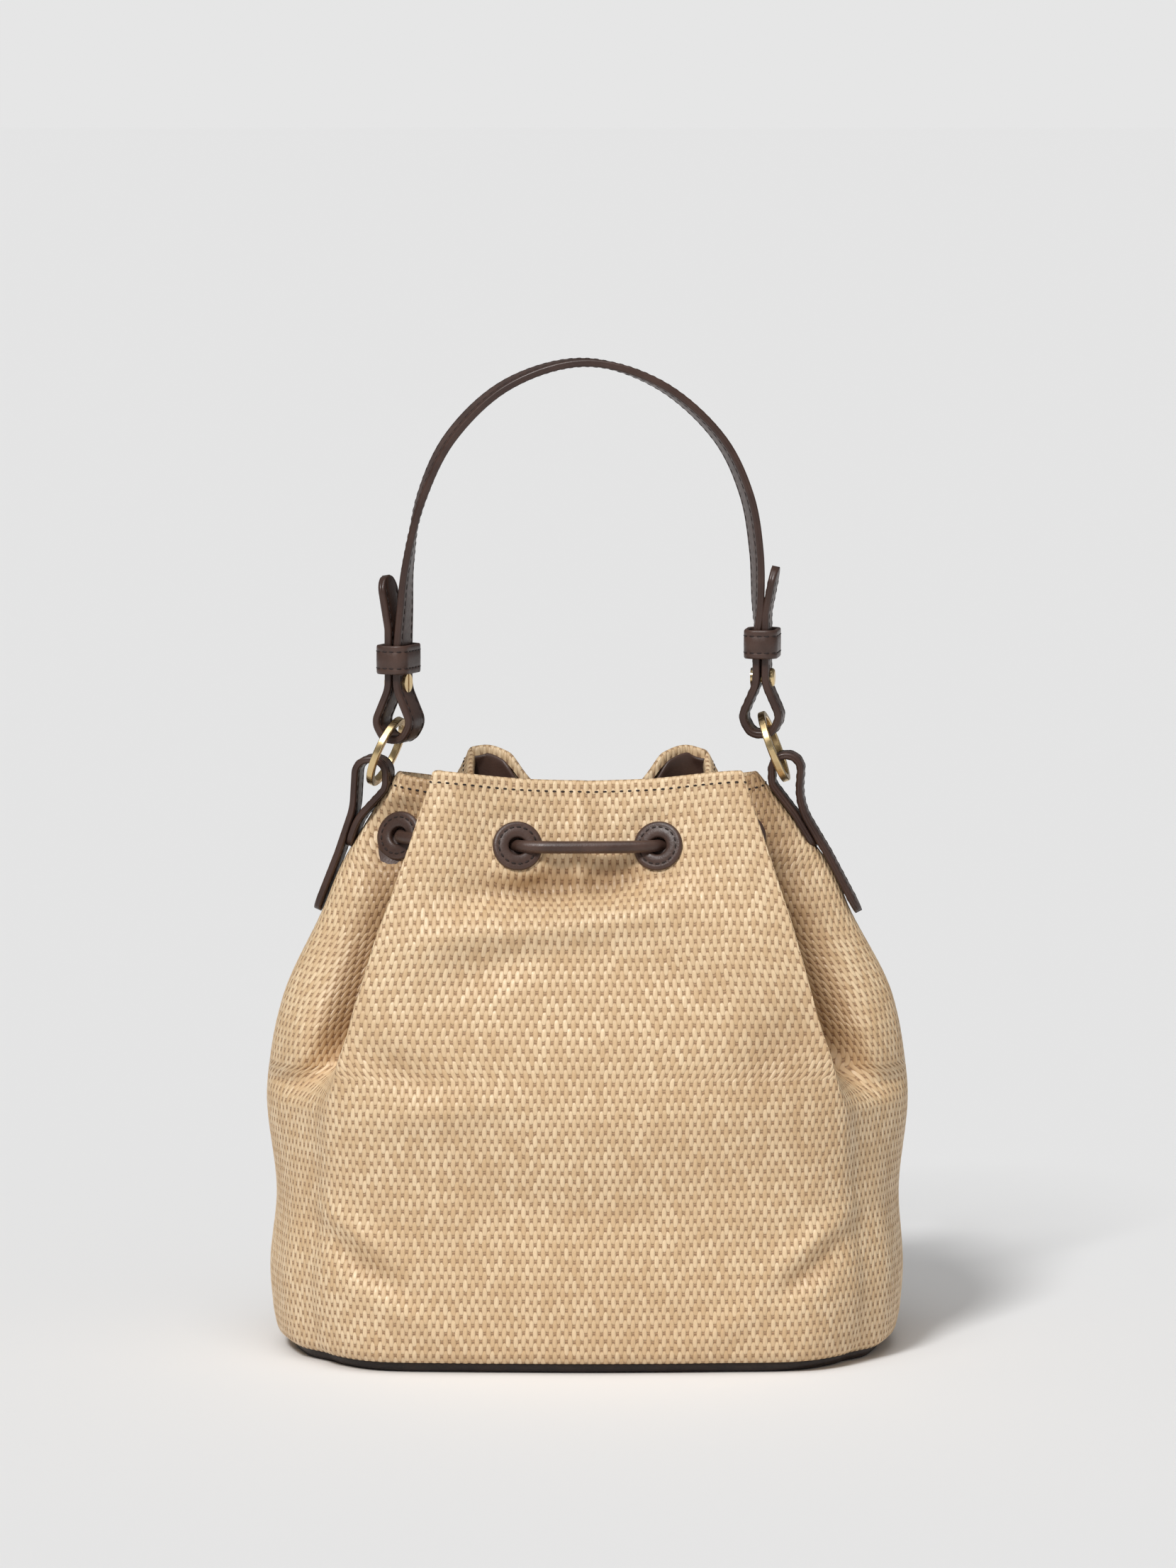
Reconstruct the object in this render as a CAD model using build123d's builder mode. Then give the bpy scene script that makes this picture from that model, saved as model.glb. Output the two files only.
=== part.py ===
"""Drawstring bucket bag with pleated woven body, leather trim, metal rings and a top handle.

Frame: millimetres, +Z up, +X to the right, the front faces -Y. The origin is the centre of the
underside, on the ground.
"""

import os
from math import cos, pi, radians, sin

from build123d import *

os.makedirs("parts", exist_ok=True)

# ---- body ----------------------------------------------------------------------------------
panel_thickness = 1.4
layer_gap = 0.25
lining_gap = 3.2
facing_thickness = 1.2
lining_thickness = 0.7
facing_height = 34.0
rim_z = 215.0
eyelet_z = 191.0
base_leather_thickness = 2.4
base_board_thickness = 2.0
base_inset = 5.0
side_fold_length = 6.0
round_side_depth = 9.0
full_fold_depth = 21.0
fold_sharpness = 1.35
fold_clearance = 0.8

# Each level of the body: height, front half and back half of the outline as
# (centre y, shoulder y, corner x, corner y, valley x, valley y), then the left and right fold.
body_levels = [
    (1.0, (-68, -63, 90, -54, 104, -35), (68, 63, 90, 54, 104, 35), -111.0, 111.0),
    (10.0, (-73, -67.5, 94, -59, 109, -38), (73, 67.5, 94, 59, 109, 38), -117.0, 116.0),
    (30.0, (-74, -68.5, 95, -60, 110, -38), (74, 68.5, 95, 60, 110, 38), -118.0, 117.0),
    (58.0, (-73, -67.5, 93, -60, 108, -38), (73, 67.5, 93, 60, 108, 38), -116.0, 116.0),
    (94.0, (-74, -68.0, 94, -61, 110, -38), (74, 68, 94, 61, 110, 38), -119.5, 119.0),
    (112.0, (-70.5, -66.5, 90.5, -62, 95, -33), (70.5, 66, 90, 61, 96, 33), -117.6, 117.2),
    (130.0, (-65, -63.5, 85, -60, 81, -26), (65, 63.5, 84, 60, 83, 27), -113.5, 113.5),
    (163.0, (-54, -56.5, 74.5, -54, 61, -17), (55, 57, 71, 54, 62, 18), -98.4, 97.2),
    (177.0, (-47, -52.5, 70, -51, 53, -16), (49, 54, 65, 52, 53, 17), -91.2, 89.4),
    (eyelet_z, (-40, -48.5, 65, -47, 46, -16), (43, 51, 58, 49.5, 45, 17), -82.8, 79.0),
    (rim_z, (-32, -42.5, 57.5, -41, 36, -15), (34, 49, 47, 47.5, 36, 15), -70.0, 62.0),
]

# ---- eyelets and drawstring ----------------------------------------------------------------
eyelet_radius = 9.2
eyelet_hole_radius = 3.6
eyelet_thickness = 1.6
panel_hole_radius = 5.0
cord_radius = 2.3
# Distances of the eyelets along the outline, from the front centre and from the back centre.
eyelets_front_right = (26.0, 82.0, 113.0)
eyelets_front_left = (26.0, 85.0, 126.5)
eyelets_back = (26.0, 77.0, 116.0)
sleeve_length = 20.0
sleeve_radius = 3.7

# ---- rings and tabs: (left, right) ---------------------------------------------------------
ring_outer_radius = 13.75
ring_inner_radius = 11.2
ring_width = 2.6
ring_x = (-74.7, 69.0)
ring_z = (221.6, 223.4)
ring_lean = (23.0, 21.0)
ring_yaw = (-16.0, -6.0)
strip_thickness = 2.6
tab_width = 12.0
tab_yaw = (-11.0, -5.0)
tab_loop_x = (-79.6, 73.9)
tab_loop_z = (211.8, 213.2)

# ---- handle: (left, right) -----------------------------------------------------------------
strap_thickness = 2.8
strap_width = 13.0
stack_gap = 0.5
stack_x = (-70.2, 64.6)
stack_yaw = (-23.0, -8.0)
loop_bottom_z = (224.9, 226.9)
keeper_z = (256.2, 262.0)
tail_top_z = (287.0, 290.5)
tail_flare = 3.4
keeper_height = 10.6
keeper_wall = 1.4
keeper_inner_width = 15.9
keeper_inner_depth = 9.8
keeper_travel = 6.0
neck_rise = 19.0
stud_rise = 20.9
stud_barrel_radius = 2.0
stud_bore_radius = 1.2
stud_head_radius = 3.5
stud_head_height = 1.1
# Arch of the strap's centreline: x, z and the strap's twist about its own length.
arch_points = [
    (-67.8, 274.0, -17.0),
    (-66.6, 291.0, -8.0),
    (-61.5, 316.0, 6.0),
    (-50.9, 338.0, 10.0),
    (-30.0, 357.5, 7.0),
    (-1.6, 365.8, 0.0),
    (26.0, 357.8, -7.0),
    (48.4, 338.0, -11.0),
    (58.6, 317.0, -13.0),
    (62.3, 296.0, -13.0),
    (62.9, 277.0, -9.0),
]

LEFT, RIGHT = 0, 1
SIDES = (("left", LEFT, -1), ("right", RIGHT, 1))


def save(part, name):
    """Label one finished piece and write it to its own file."""
    part.label = name
    export_step(part, f"parts/{name}.step")


# ---- outline of the body at one level ------------------------------------------------------
def half_outline(shape, fold_x, side):
    """Points from the centre of one half to just before its side fold, on one side."""
    centre_y, shoulder_y, corner_x, corner_y, valley_x, valley_y = shape
    fold = abs(fold_x)
    sharp = (fold - valley_x - round_side_depth) / (full_fold_depth - round_side_depth)
    sharp = min(1.0, max(0.05, sharp))
    points = [
        (0.0, centre_y),
        (0.45 * corner_x, 0.62 * centre_y + 0.38 * shoulder_y),
        (0.84 * corner_x, shoulder_y),
        (corner_x, corner_y),
        (0.6 * corner_x + 0.4 * valley_x, 0.55 * corner_y + 0.45 * valley_y),
        (valley_x, valley_y),
        (0.5 * valley_x + 0.5 * fold, 0.72 * valley_y),
        (fold - sharp * side_fold_length, (0.28 - 0.14 * sharp) * 2 * valley_y),
    ]
    return [(side * x, y) for x, y in points]


def outline_points(level):
    """Outer outline of the body at one level, anticlockwise from the front centre."""
    _, front, back, left_fold, right_fold = level
    right_front = half_outline(front, right_fold, 1)
    right_back = half_outline(back, right_fold, 1)
    left_back = half_outline(back, left_fold, -1)
    left_front = half_outline(front, left_fold, -1)
    return (
        right_front
        + [(right_fold, 0.0)]
        + right_back[:0:-1]
        + left_back
        + [(left_fold, 0.0)]
        + left_front[:0:-1]
    )


def inset_points(level, inset, count=72):
    """Points on the outline of one level, moved inwards by the inset."""
    with BuildLine() as outline:
        Spline(*outline_points(level), periodic=True)
    edge = outline.edges()[0]
    moved = []
    for step in range(count):
        place = edge @ (step / count)
        along = edge % (step / count)
        inward = Vector(-along.Y, along.X)
        moved.append((place.X + inset * inward.X, place.Y + inset * inward.Y))
    return moved


def half_run(level, inset, half):
    """Points of one half of the outline, moved inwards, anticlockwise from fold to fold."""
    left_end = level[3] + fold_sharpness * inset
    right_end = level[4] - fold_sharpness * inset
    points = inset_points(level, inset)
    if half < 0:
        middle_index = len(points) // 2
        points = points[middle_index:] + points[:middle_index]
    middle = [
        (x, y)
        for x, y in points
        if half * y > fold_clearance and left_end + fold_clearance < x < right_end - fold_clearance
    ]
    ends = [(left_end, 0.0), (right_end, 0.0)]
    if half > 0:
        ends.reverse()
    return [ends[0], *middle, ends[1]]


def blended_level(height):
    """The body's level at any height, between its two neighbours in the list."""
    for lower, upper in zip(body_levels, body_levels[1:]):
        if height <= upper[0]:
            share = (height - lower[0]) / (upper[0] - lower[0])
            halves = [
                tuple(a + share * (b - a) for a, b in zip(lower[i], upper[i])) for i in (1, 2)
            ]
            folds = [lower[i] + share * (upper[i] - lower[i]) for i in (3, 4)]
            return (height, *halves, *folds)
    return upper


def shrunk(level, gap):
    """The level of a looser inner bag whose folds all stay clear of the outer one."""
    height, front, back, left_fold, right_fold = level
    halves = []
    for shape, sign in ((front, 1), (back, -1)):
        centre_y, shoulder_y, corner_x, corner_y, valley_x, valley_y = shape
        step = sign * gap
        halves.append(
            (
                centre_y + step,
                shoulder_y + step,
                corner_x - 1.5 * gap,
                corner_y + step,
                valley_x - gap,
                valley_y + 0.8 * step,
            )
        )
    return (height, *halves, left_fold + 2.5 * gap, right_fold - 2.5 * gap)


def half_band(outer_inset, thickness, low, high, half, gap=0.0):
    """Half of an open tube that follows the body's form: half -1 is the front, 1 the back."""
    heights = [low] + [level[0] for level in body_levels if low < level[0] < high] + [high]
    with BuildPart() as band:
        for height in heights:
            level = shrunk(blended_level(height), gap)
            outer = half_run(level, outer_inset, half)
            inner = half_run(level, outer_inset + thickness, half)
            with BuildSketch(Plane.XY.offset(height)):
                with BuildLine():
                    Spline(*outer)
                    Line(outer[-1], inner[-1])
                    Spline(*reversed(inner))
                    Line(inner[0], outer[0])
                make_face()
        loft(ruled=True)
    return band.part


def slab(inset, low, high):
    """A closed solid with the body's outline at its lower height, moved inwards."""
    with BuildPart() as plate:
        with BuildSketch(Plane.XY.offset(low)):
            with BuildLine():
                Spline(*inset_points(blended_level(low), inset), periodic=True)
            make_face()
        extrude(amount=high - low)
    return plate.part


# ---- eyelet places: evenly spaced along the outline at the eyelets' height -----------------
def place_along(points, distance):
    """Position and outward direction at a distance along a closed run of points."""
    travelled = 0.0
    for (x0, y0), (x1, y1) in zip(points, points[1:] + points[:1]):
        step = ((x1 - x0) ** 2 + (y1 - y0) ** 2) ** 0.5
        if travelled + step >= distance:
            share = (distance - travelled) / step
            return (x0 + share * (x1 - x0), y0 + share * (y1 - y0)), ((y1 - y0) / step, (x0 - x1) / step)
        travelled += step
    raise ValueError("distance is longer than the outline")


def length_of(points):
    """Length of a closed run of points."""
    return sum(
        ((x1 - x0) ** 2 + (y1 - y0) ** 2) ** 0.5
        for (x0, y0), (x1, y1) in zip(points, points[1:] + points[:1])
    )


# ---- woven panels, facing and lining -------------------------------------------------------
facing_inset = panel_thickness + layer_gap
facing_low = rim_z - facing_height
panel_low = body_levels[0][0]
base_step = panel_low + layer_gap
base_top = base_step + base_leather_thickness
board_low = base_top + layer_gap
board_top = board_low + base_board_thickness
lining_low = board_top + layer_gap

eyelet_outline = inset_points(blended_level(eyelet_z), 0.0)
half_length = length_of(eyelet_outline) / 2
eyelet_distances = list(eyelets_front_right)
eyelet_distances += [half_length - distance for distance in reversed(eyelets_back)]
eyelet_distances += [half_length + distance for distance in eyelets_back]
eyelet_distances += [2 * half_length - distance for distance in reversed(eyelets_front_left)]


def eyelet_plane(distance):
    """Plane on the body's surface at an eyelet, with +Z pointing outwards."""
    (x, y), (out_x, out_y) = place_along(eyelet_outline, distance)
    reach = 4.0
    share = distance / (2 * half_length)
    above = inset_points(blended_level(eyelet_z + reach), 0.0)
    below = inset_points(blended_level(eyelet_z - reach), 0.0)
    (x1, y1), _ = place_along(above, share * length_of(above))
    (x0, y0), _ = place_along(below, share * length_of(below))
    rise = (x1 - x0) * out_x + (y1 - y0) * out_y
    outward = Vector(out_x, out_y, -rise / (2 * reach)).normalized()
    return Plane(origin=(x, y, eyelet_z), x_dir=(-out_y, out_x, 0), z_dir=outward)


eyelet_planes = [eyelet_plane(distance) for distance in eyelet_distances]

for half, word in ((-1, "front"), (1, "back")):
    near = [plane for plane in eyelet_planes if half * plane.origin.Y > 0]

    with BuildPart() as panel:
        add(half_band(0.0, panel_thickness, panel_low, rim_z, half))
        for plane in near:
            with BuildSketch(plane.offset(-5)):
                Circle(panel_hole_radius)
            extrude(amount=9, mode=Mode.SUBTRACT)
    save(panel.part, f"{word}_panel")

    with BuildPart() as facing:
        add(half_band(facing_inset, facing_thickness, facing_low, rim_z, half))
        for plane in near:
            with BuildSketch(plane.offset(-7)):
                Circle(panel_hole_radius)
            extrude(amount=9, mode=Mode.SUBTRACT)
    save(facing.part, f"rim_facing_{word}")

    lining = half_band(0.0, lining_thickness, lining_low, facing_low - layer_gap, half, lining_gap)
    save(lining, f"lining_{word}")

lining_floor = slab(3.4 * lining_gap, lining_low, lining_low + lining_thickness)
save(lining_floor, "lining_floor")

# ---- base ----------------------------------------------------------------------------------
with BuildPart() as base_panel:
    add(slab(base_inset, 0.0, base_step))
    add(slab(panel_thickness + 1.0, base_step, base_top))
save(base_panel.part, "base_panel")
save(slab(panel_thickness + 2.0, board_low, board_top), "base_board")

# ---- eyelets -------------------------------------------------------------------------------
for number, plane in enumerate(eyelet_planes, start=1):
    with BuildPart() as eyelet:
        with BuildSketch(plane.offset(layer_gap)):
            Circle(eyelet_radius)
            Circle(eyelet_hole_radius, mode=Mode.SUBTRACT)
        extrude(amount=eyelet_thickness)
        fillet(eyelet.faces().sort_by(SortBy.DISTANCE, reverse=True)[0].edges(), 0.5)
    save(eyelet.part, f"eyelet_{number:02d}")

# ---- drawstring and sleeve -----------------------------------------------------------------
cord_outside = layer_gap + eyelet_thickness + cord_radius + 0.3
cord_inside = facing_inset + facing_thickness + cord_radius + 0.5
cord_middle = 0.6
outside_step = 3.0
inside_step = 1.6


def cord_point(plane, lift, along):
    """Point of the drawstring beside an eyelet: lift is outwards, along follows the outline."""
    place = plane.origin + Vector(plane.z_dir.X, plane.z_dir.Y, 0).normalized() * lift
    place += plane.x_dir * along
    return (place.X, place.Y, eyelet_z)


def cord_half(planes):
    """Route from the front span to the back span through six eyelets, in their order."""
    front, near, far, far_back, near_back, back = planes
    return [
        cord_point(front, cord_outside, -outside_step),
        cord_point(front, -cord_inside, inside_step),
        cord_point(near, -cord_inside, -inside_step),
        cord_point(near, cord_outside, outside_step),
        cord_point(far, cord_outside, -outside_step),
        cord_point(far, -cord_middle, 0.0),
        cord_point(far_back, -cord_middle, 0.0),
        cord_point(far_back, cord_outside, outside_step),
        cord_point(near_back, cord_outside, -outside_step),
        cord_point(near_back, -cord_inside, inside_step),
        cord_point(back, -cord_inside, -inside_step),
        cord_point(back, cord_outside, outside_step),
    ]


def corner_radii(points, share=0.45, largest=9.0):
    """One bend radius for each inner point, as large as its two runs allow."""
    radii = []
    for before, here, after in zip(points, points[1:], points[2:]):
        arriving = Vector(here) - Vector(before)
        leaving = Vector(after) - Vector(here)
        turn = radians(arriving.get_angle(leaving))
        shorter = min(arriving.length, leaving.length)
        radii.append(min(largest, share * shorter / max(0.02, sin(turn / 2) / cos(turn / 2))))
    return radii


right_route = cord_half(eyelet_planes[:6])
left_route = [
    (-x, y, z)
    for x, y, z in cord_half(
        [
            Plane(
                origin=(-plane.origin.X, plane.origin.Y, plane.origin.Z),
                x_dir=(plane.x_dir.X, -plane.x_dir.Y, 0),
                z_dir=(-plane.z_dir.X, plane.z_dir.Y, plane.z_dir.Z),
            )
            for plane in reversed(eyelet_planes[6:])
        ]
    )
]
back_middle = (Vector(right_route[-1]) + Vector(left_route[-1])) * 0.5
back_along = (Vector(right_route[-1]) - Vector(left_route[-1])).normalized()
right_end = back_middle + back_along * 0.3
left_end = back_middle - back_along * 0.3
cord_route = [tuple(right_end), *reversed(right_route), *left_route, tuple(left_end)]
cord_bends = corner_radii(cord_route)
print("drawstring bend radii", [round(radius, 1) for radius in cord_bends])

with BuildPart() as drawstring:
    with BuildLine() as cord_path:
        FilletPolyline(*cord_route, radius=cord_bends)
    start = cord_path.wires()[0]
    with BuildSketch(Plane(origin=start @ 0, z_dir=start % 0)):
        Circle(cord_radius)
    sweep()
print("drawstring length", round(start.length, 1))
print("volume against section times length", drawstring.part.volume / (pi * cord_radius**2 * start.length))
save(drawstring.part, "drawstring")

with BuildPart() as cord_sleeve:
    with BuildSketch(Plane(origin=back_middle, z_dir=back_along)):
        Circle(sleeve_radius)
        Circle(cord_radius + 0.05, mode=Mode.SUBTRACT)
    extrude(amount=sleeve_length / 2, both=True)
    fillet(cord_sleeve.edges().filter_by(GeomType.CIRCLE).group_by(SortBy.RADIUS)[-1], 0.6)
save(cord_sleeve.part, "cord_sleeve")


# ---- side tabs, rings, loops, keepers and studs --------------------------------------------
def side_plane(origin_x, yaw, direction):
    """Upright plane whose x axis points away from the bag and whose y axis points up."""
    outward = Vector(direction * cos(radians(yaw)), direction * sin(radians(yaw)), 0)
    return Plane(origin=(origin_x, 0, 0), x_dir=outward, z_dir=outward.cross(Vector(0, 0, 1)))


def band(plane, points, radii, thickness, width):
    """Leather strip of even thickness that follows a path in one upright plane."""
    with BuildPart() as strip:
        with BuildLine(plane):
            FilletPolyline(*points, radius=radii)
        path = strip.pending_edges_as_wire
        across = plane.z_dir
        start_plane = Plane(origin=path @ 0, x_dir=across, z_dir=path % 0)
        with BuildSketch(start_plane):
            Rectangle(width, thickness)
        sweep(path=path)
    return strip.part


layer_offset = (stack_gap + strap_thickness) / 2
tab_reach = (21.4, 26.9)
tab_bend = (12.6, 15.2)
tab_neck = (6.8, 4.3)
tab_inner_neck = (5.2, 3.2)
tab_inner_end = (9.1, 10.7)
loop_parts = []

for word, side, direction in SIDES:
    # Tab: outer layer on the side fold, over the ring's foot, and a short inner layer.
    tab_z = tab_loop_z[side]
    foot = tab_reach[side]
    tab_points = [
        (foot, 162.0),
        (tab_bend[side], 184.0),
        (tab_neck[side], tab_z - 11.0),
        (6.1, tab_z + 6.9),
        (-5.8, tab_z + 7.4),
        (-5.6, tab_z - 3.4),
        (tab_inner_neck[side], tab_z - 15.0),
        (tab_inner_end[side], 186.0),
    ]
    tab_radii = [40.0, 25.0, 5.4, 5.4, 5.0, 20.0]
    tab_plane = side_plane(tab_loop_x[side], tab_yaw[side], direction)
    save(band(tab_plane, tab_points, tab_radii, strip_thickness, tab_width), f"tab_{word}")

    # Ring: flat section, leaning inwards at its top.
    lean = radians(ring_lean[side])
    upright = side_plane(ring_x[side], ring_yaw[side], direction)
    outward = upright.x_dir
    ring_axis = outward * cos(lean) + Vector(0, 0, 1) * sin(lean)
    ring_plane = Plane(
        origin=(ring_x[side], 0, ring_z[side]), x_dir=outward.cross(Vector(0, 0, 1)), z_dir=ring_axis
    )
    with BuildPart() as ring:
        with BuildSketch(ring_plane):
            Circle(ring_outer_radius)
            Circle(ring_inner_radius, mode=Mode.SUBTRACT)
        extrude(amount=ring_width / 2, both=True)
        fillet(ring.edges(), 0.45)
    save(ring.part, f"ring_{word}")

    # Loop of the strap: main layer down, round the ring, tail back up through the keeper.
    loop_z = loop_bottom_z[side] + strap_thickness / 2
    straight_top = keeper_z[side] + keeper_height / 2 + keeper_travel
    loop_points = [
        (-layer_offset, keeper_z[side]),
        (-layer_offset, loop_z + neck_rise),
        (-7.2, loop_z + 6.4),
        (-3.6, loop_z),
        (3.6, loop_z),
        (7.2, loop_z + 6.4),
        (layer_offset, loop_z + neck_rise),
        (layer_offset + 0.02, straight_top),
        (layer_offset + tail_flare, tail_top_z[side]),
    ]
    loop_radii = [14.0, 5.5, 4.6, 4.6, 5.5, 14.0, 12.0]
    stack_plane = side_plane(stack_x[side], stack_yaw[side], direction)
    loop = band(stack_plane, loop_points, loop_radii, strap_thickness, strap_width)

    # Stud: a slotted barrel from the inner face and a domed cap from the outer face.
    stud_origin = stack_plane.origin + Vector(0, 0, loop_z + stud_rise)
    stud_plane = Plane(origin=stud_origin, x_dir=(0, 0, 1), z_dir=stack_plane.x_dir)
    stack_half = layer_offset + strap_thickness / 2
    with BuildPart() as loop_bored:
        add(loop)
        with BuildSketch(stud_plane.offset(-stack_half - 2)):
            Circle(stud_barrel_radius + 0.05)
        extrude(amount=2 * stack_half + 4, mode=Mode.SUBTRACT)
        tail_end = loop_bored.faces().sort_by(Axis.Z)[-1]
        fillet(tail_end.edges().sort_by(Axis(stud_origin, stack_plane.z_dir))[:: 3], strap_width / 2 - 0.4)
    loop_parts.append(loop_bored.part)

    with BuildPart() as post:
        with BuildSketch(stud_plane.offset(-stack_half - stud_head_height)):
            Circle(stud_head_radius)
        extrude(amount=stud_head_height - 0.05)
        with BuildSketch(stud_plane.offset(-stack_half - 0.1)):
            Circle(stud_barrel_radius)
        extrude(amount=2 * stack_half + 0.1)
        with BuildSketch(stud_plane.offset(-stack_half + 1.5)):
            Circle(stud_bore_radius)
        extrude(amount=2 * stack_half, mode=Mode.SUBTRACT)
        with BuildSketch(stud_plane.offset(-stack_half - stud_head_height)):
            Rectangle(2 * stud_head_radius, 0.9)
        extrude(amount=0.6, mode=Mode.SUBTRACT)
    save(post.part, f"screw_post_{word}")

    with BuildPart() as cap:
        with BuildSketch(stud_plane.offset(stack_half + 0.05)):
            Circle(stud_head_radius)
        extrude(amount=stud_head_height + 0.5)
        fillet(cap.faces().sort_by(Axis(stud_origin, stack_plane.x_dir))[-1].edges(), 1.2)
        with BuildSketch(stud_plane.offset(-stack_half + 2.2)):
            Circle(stud_bore_radius - 0.05)
        extrude(amount=2 * stack_half - 2.0)
    save(cap.part, f"screw_cap_{word}")

    # Keeper: a loose oval band round strap and tail.
    keeper_plane = Plane(
        origin=stack_plane.origin + Vector(0, 0, keeper_z[side] - keeper_height / 2),
        x_dir=stack_plane.x_dir,
        z_dir=(0, 0, 1),
    )
    with BuildPart() as keeper:
        with BuildSketch(keeper_plane):
            RectangleRounded(
                keeper_inner_depth + 2 * keeper_wall, keeper_inner_width + 2 * keeper_wall, 4.6
            )
            RectangleRounded(keeper_inner_depth, keeper_inner_width, 3.2, mode=Mode.SUBTRACT)
        extrude(amount=keeper_height)
        fillet(keeper.edges().filter_by(Axis.Z, reverse=True), 0.4)
    save(keeper.part, f"keeper_{word}")

# ---- handle strap --------------------------------------------------------------------------
def strap_end(side, direction):
    """Centre of the main layer inside the keeper, where the arch meets its loop."""
    plane = side_plane(stack_x[side], stack_yaw[side], direction)
    return plane.origin - plane.x_dir * layer_offset + Vector(0, 0, keeper_z[side])


left_foot = strap_end(LEFT, -1)
right_foot = strap_end(RIGHT, 1)
arch_places = [tuple(left_foot)]
arch_places += [(x, 0.0, z) for x, z, _ in arch_points]
arch_places += [tuple(right_foot)]
arch_twists = [stack_yaw[LEFT]] + [twist for _, _, twist in arch_points] + [-stack_yaw[RIGHT]]

with BuildPart() as handle_strap:
    with BuildLine(mode=Mode.PRIVATE) as arch_path:
        Spline(*arch_places, tangents=((0, 0, 1), (0, 0, -1)))
    arch = arch_path.edges()[0]
    for place, twist in zip(arch_places, arch_twists):
        along = arch.tangent_at(arch.param_at_point(place))
        flat = Vector(along.X, 0, along.Z).normalized()
        width_way = Vector(0, 1, 0).rotate(Axis((0, 0, 0), flat), twist)
        with BuildSketch(Plane(origin=place, x_dir=width_way, z_dir=flat)):
            Rectangle(strap_width, strap_thickness)
    loft()
    for loop_part in loop_parts:
        add(loop_part)
save(handle_strap.part, "handle_strap")
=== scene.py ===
"""Looks of the gathered bucket bag: woven body, leather trim, rolled rim cord, rings and handle.

Lengths in the tables are millimetres in the frame of the CAD model; meshes are built in metres.
"""

import math

import bpy
import numpy as np
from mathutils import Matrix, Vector


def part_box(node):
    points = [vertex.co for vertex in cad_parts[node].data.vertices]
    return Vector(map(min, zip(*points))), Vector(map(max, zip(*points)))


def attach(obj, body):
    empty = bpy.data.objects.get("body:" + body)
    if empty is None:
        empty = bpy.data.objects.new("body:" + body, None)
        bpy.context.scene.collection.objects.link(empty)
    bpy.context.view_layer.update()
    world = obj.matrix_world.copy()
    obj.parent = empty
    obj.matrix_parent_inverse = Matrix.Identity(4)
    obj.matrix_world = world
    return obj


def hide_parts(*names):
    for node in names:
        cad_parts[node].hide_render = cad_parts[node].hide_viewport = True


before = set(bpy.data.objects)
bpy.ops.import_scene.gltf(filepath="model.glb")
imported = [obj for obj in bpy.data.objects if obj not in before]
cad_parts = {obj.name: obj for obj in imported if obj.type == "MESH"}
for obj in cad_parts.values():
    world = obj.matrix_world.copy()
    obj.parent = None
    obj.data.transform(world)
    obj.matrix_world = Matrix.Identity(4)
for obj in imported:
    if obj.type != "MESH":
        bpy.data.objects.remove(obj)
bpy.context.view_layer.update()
MM = 0.001

# ---- driving dimensions ----
WARP_PITCH = 1.42
QUARTER = 122  # woven tapes from the centre of a face to the side fold
ROW_PITCH = 2.95
RELIEF = 0.32
RIM_NOMINAL = 215.0
FACING_DEPTH = 33.0
FOOT = 4.0
STRAP_WIDTH = 13.2
STRAP_THICKNESS = 2.8
TAB_WIDTH = 12.2
TAB_THICKNESS = 2.6
CORD_RADIUS = 2.3
SLEEVE_RADIUS = 3.6
EYELET_RADIUS = 9.2
EYELET_HOLE = 3.3

# Outline of the body at each height: front half and back half as (centre y, shoulder y, corner x,
# corner y, valley x, valley y), then the left and the right side fold.
BODY_LEVELS = [
    (10, (-73, -69, 94, -58, 109, -38), (73, 69, 94, 58, 109, 38), 117, 116),
    (30, (-74.5, -70, 96, -60, 110.5, -39), (74.5, 70, 96, 60, 110.5, 39), 118.5, 117.5),
    (58, (-73, -68, 93.5, -60, 108, -38), (73, 68, 93.5, 60, 108, 38), 116, 115.8),
    (94, (-74, -69, 94.5, -61, 107, -37), (74, 69, 94.5, 61, 108, 37), 119.5, 119),
    (112, (-71, -67.5, 91.5, -62, 90, -27), (70.5, 67, 91, 61, 93, 28), 117.6, 117.2),
    (130, (-66, -64.5, 86, -60.5, 78, -20), (65, 64.5, 84, 60, 80, 21), 113.5, 113.5),
    (163, (-55.5, -57.5, 75.5, -55, 60, -12.5), (55, 57, 71, 54, 61, 14), 98.4, 97.2),
    (177, (-46, -53, 70.5, -52, 52, -12), (49, 54, 65, 52, 53, 13), 92.8, 91.3),
    (191, (-38.5, -49, 65.5, -48, 46, -16), (43, 51, 58, 49.5, 45, 17), 84.9, 81),
    (215, (-31.5, -43, 57.5, -42, 36, -15), (31, 49, 46, 48, 38, 16), 70, 62),
]
# Height of the rim along each quarter, from the centre of a face to the side fold.
FRONT_RIM = ((0.0, 0.15, 0.45, 0.70, 1.0), (213.0, 213.8, 217.8, 209.0, 213.3))
BACK_RIM = ((0.0, 0.15, 0.27, 0.36, 0.62, 1.0), (199.0, 204.0, 216.5, 218.5, 208.0, 213.3))


def metres(points):
    return np.asarray(points, float) * MM


# ---- curves ----
def hermite(p1, m1, p2, m2, t):
    """Cubic between two values with their tangents, at a share t of the way."""
    return (
        p1 * (2 * t**3 - 3 * t**2 + 1) + m1 * (t**3 - 2 * t**2 + t)
        + p2 * (3 * t**2 - 2 * t**3) + m2 * (t**3 - t**2)
    )


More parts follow.
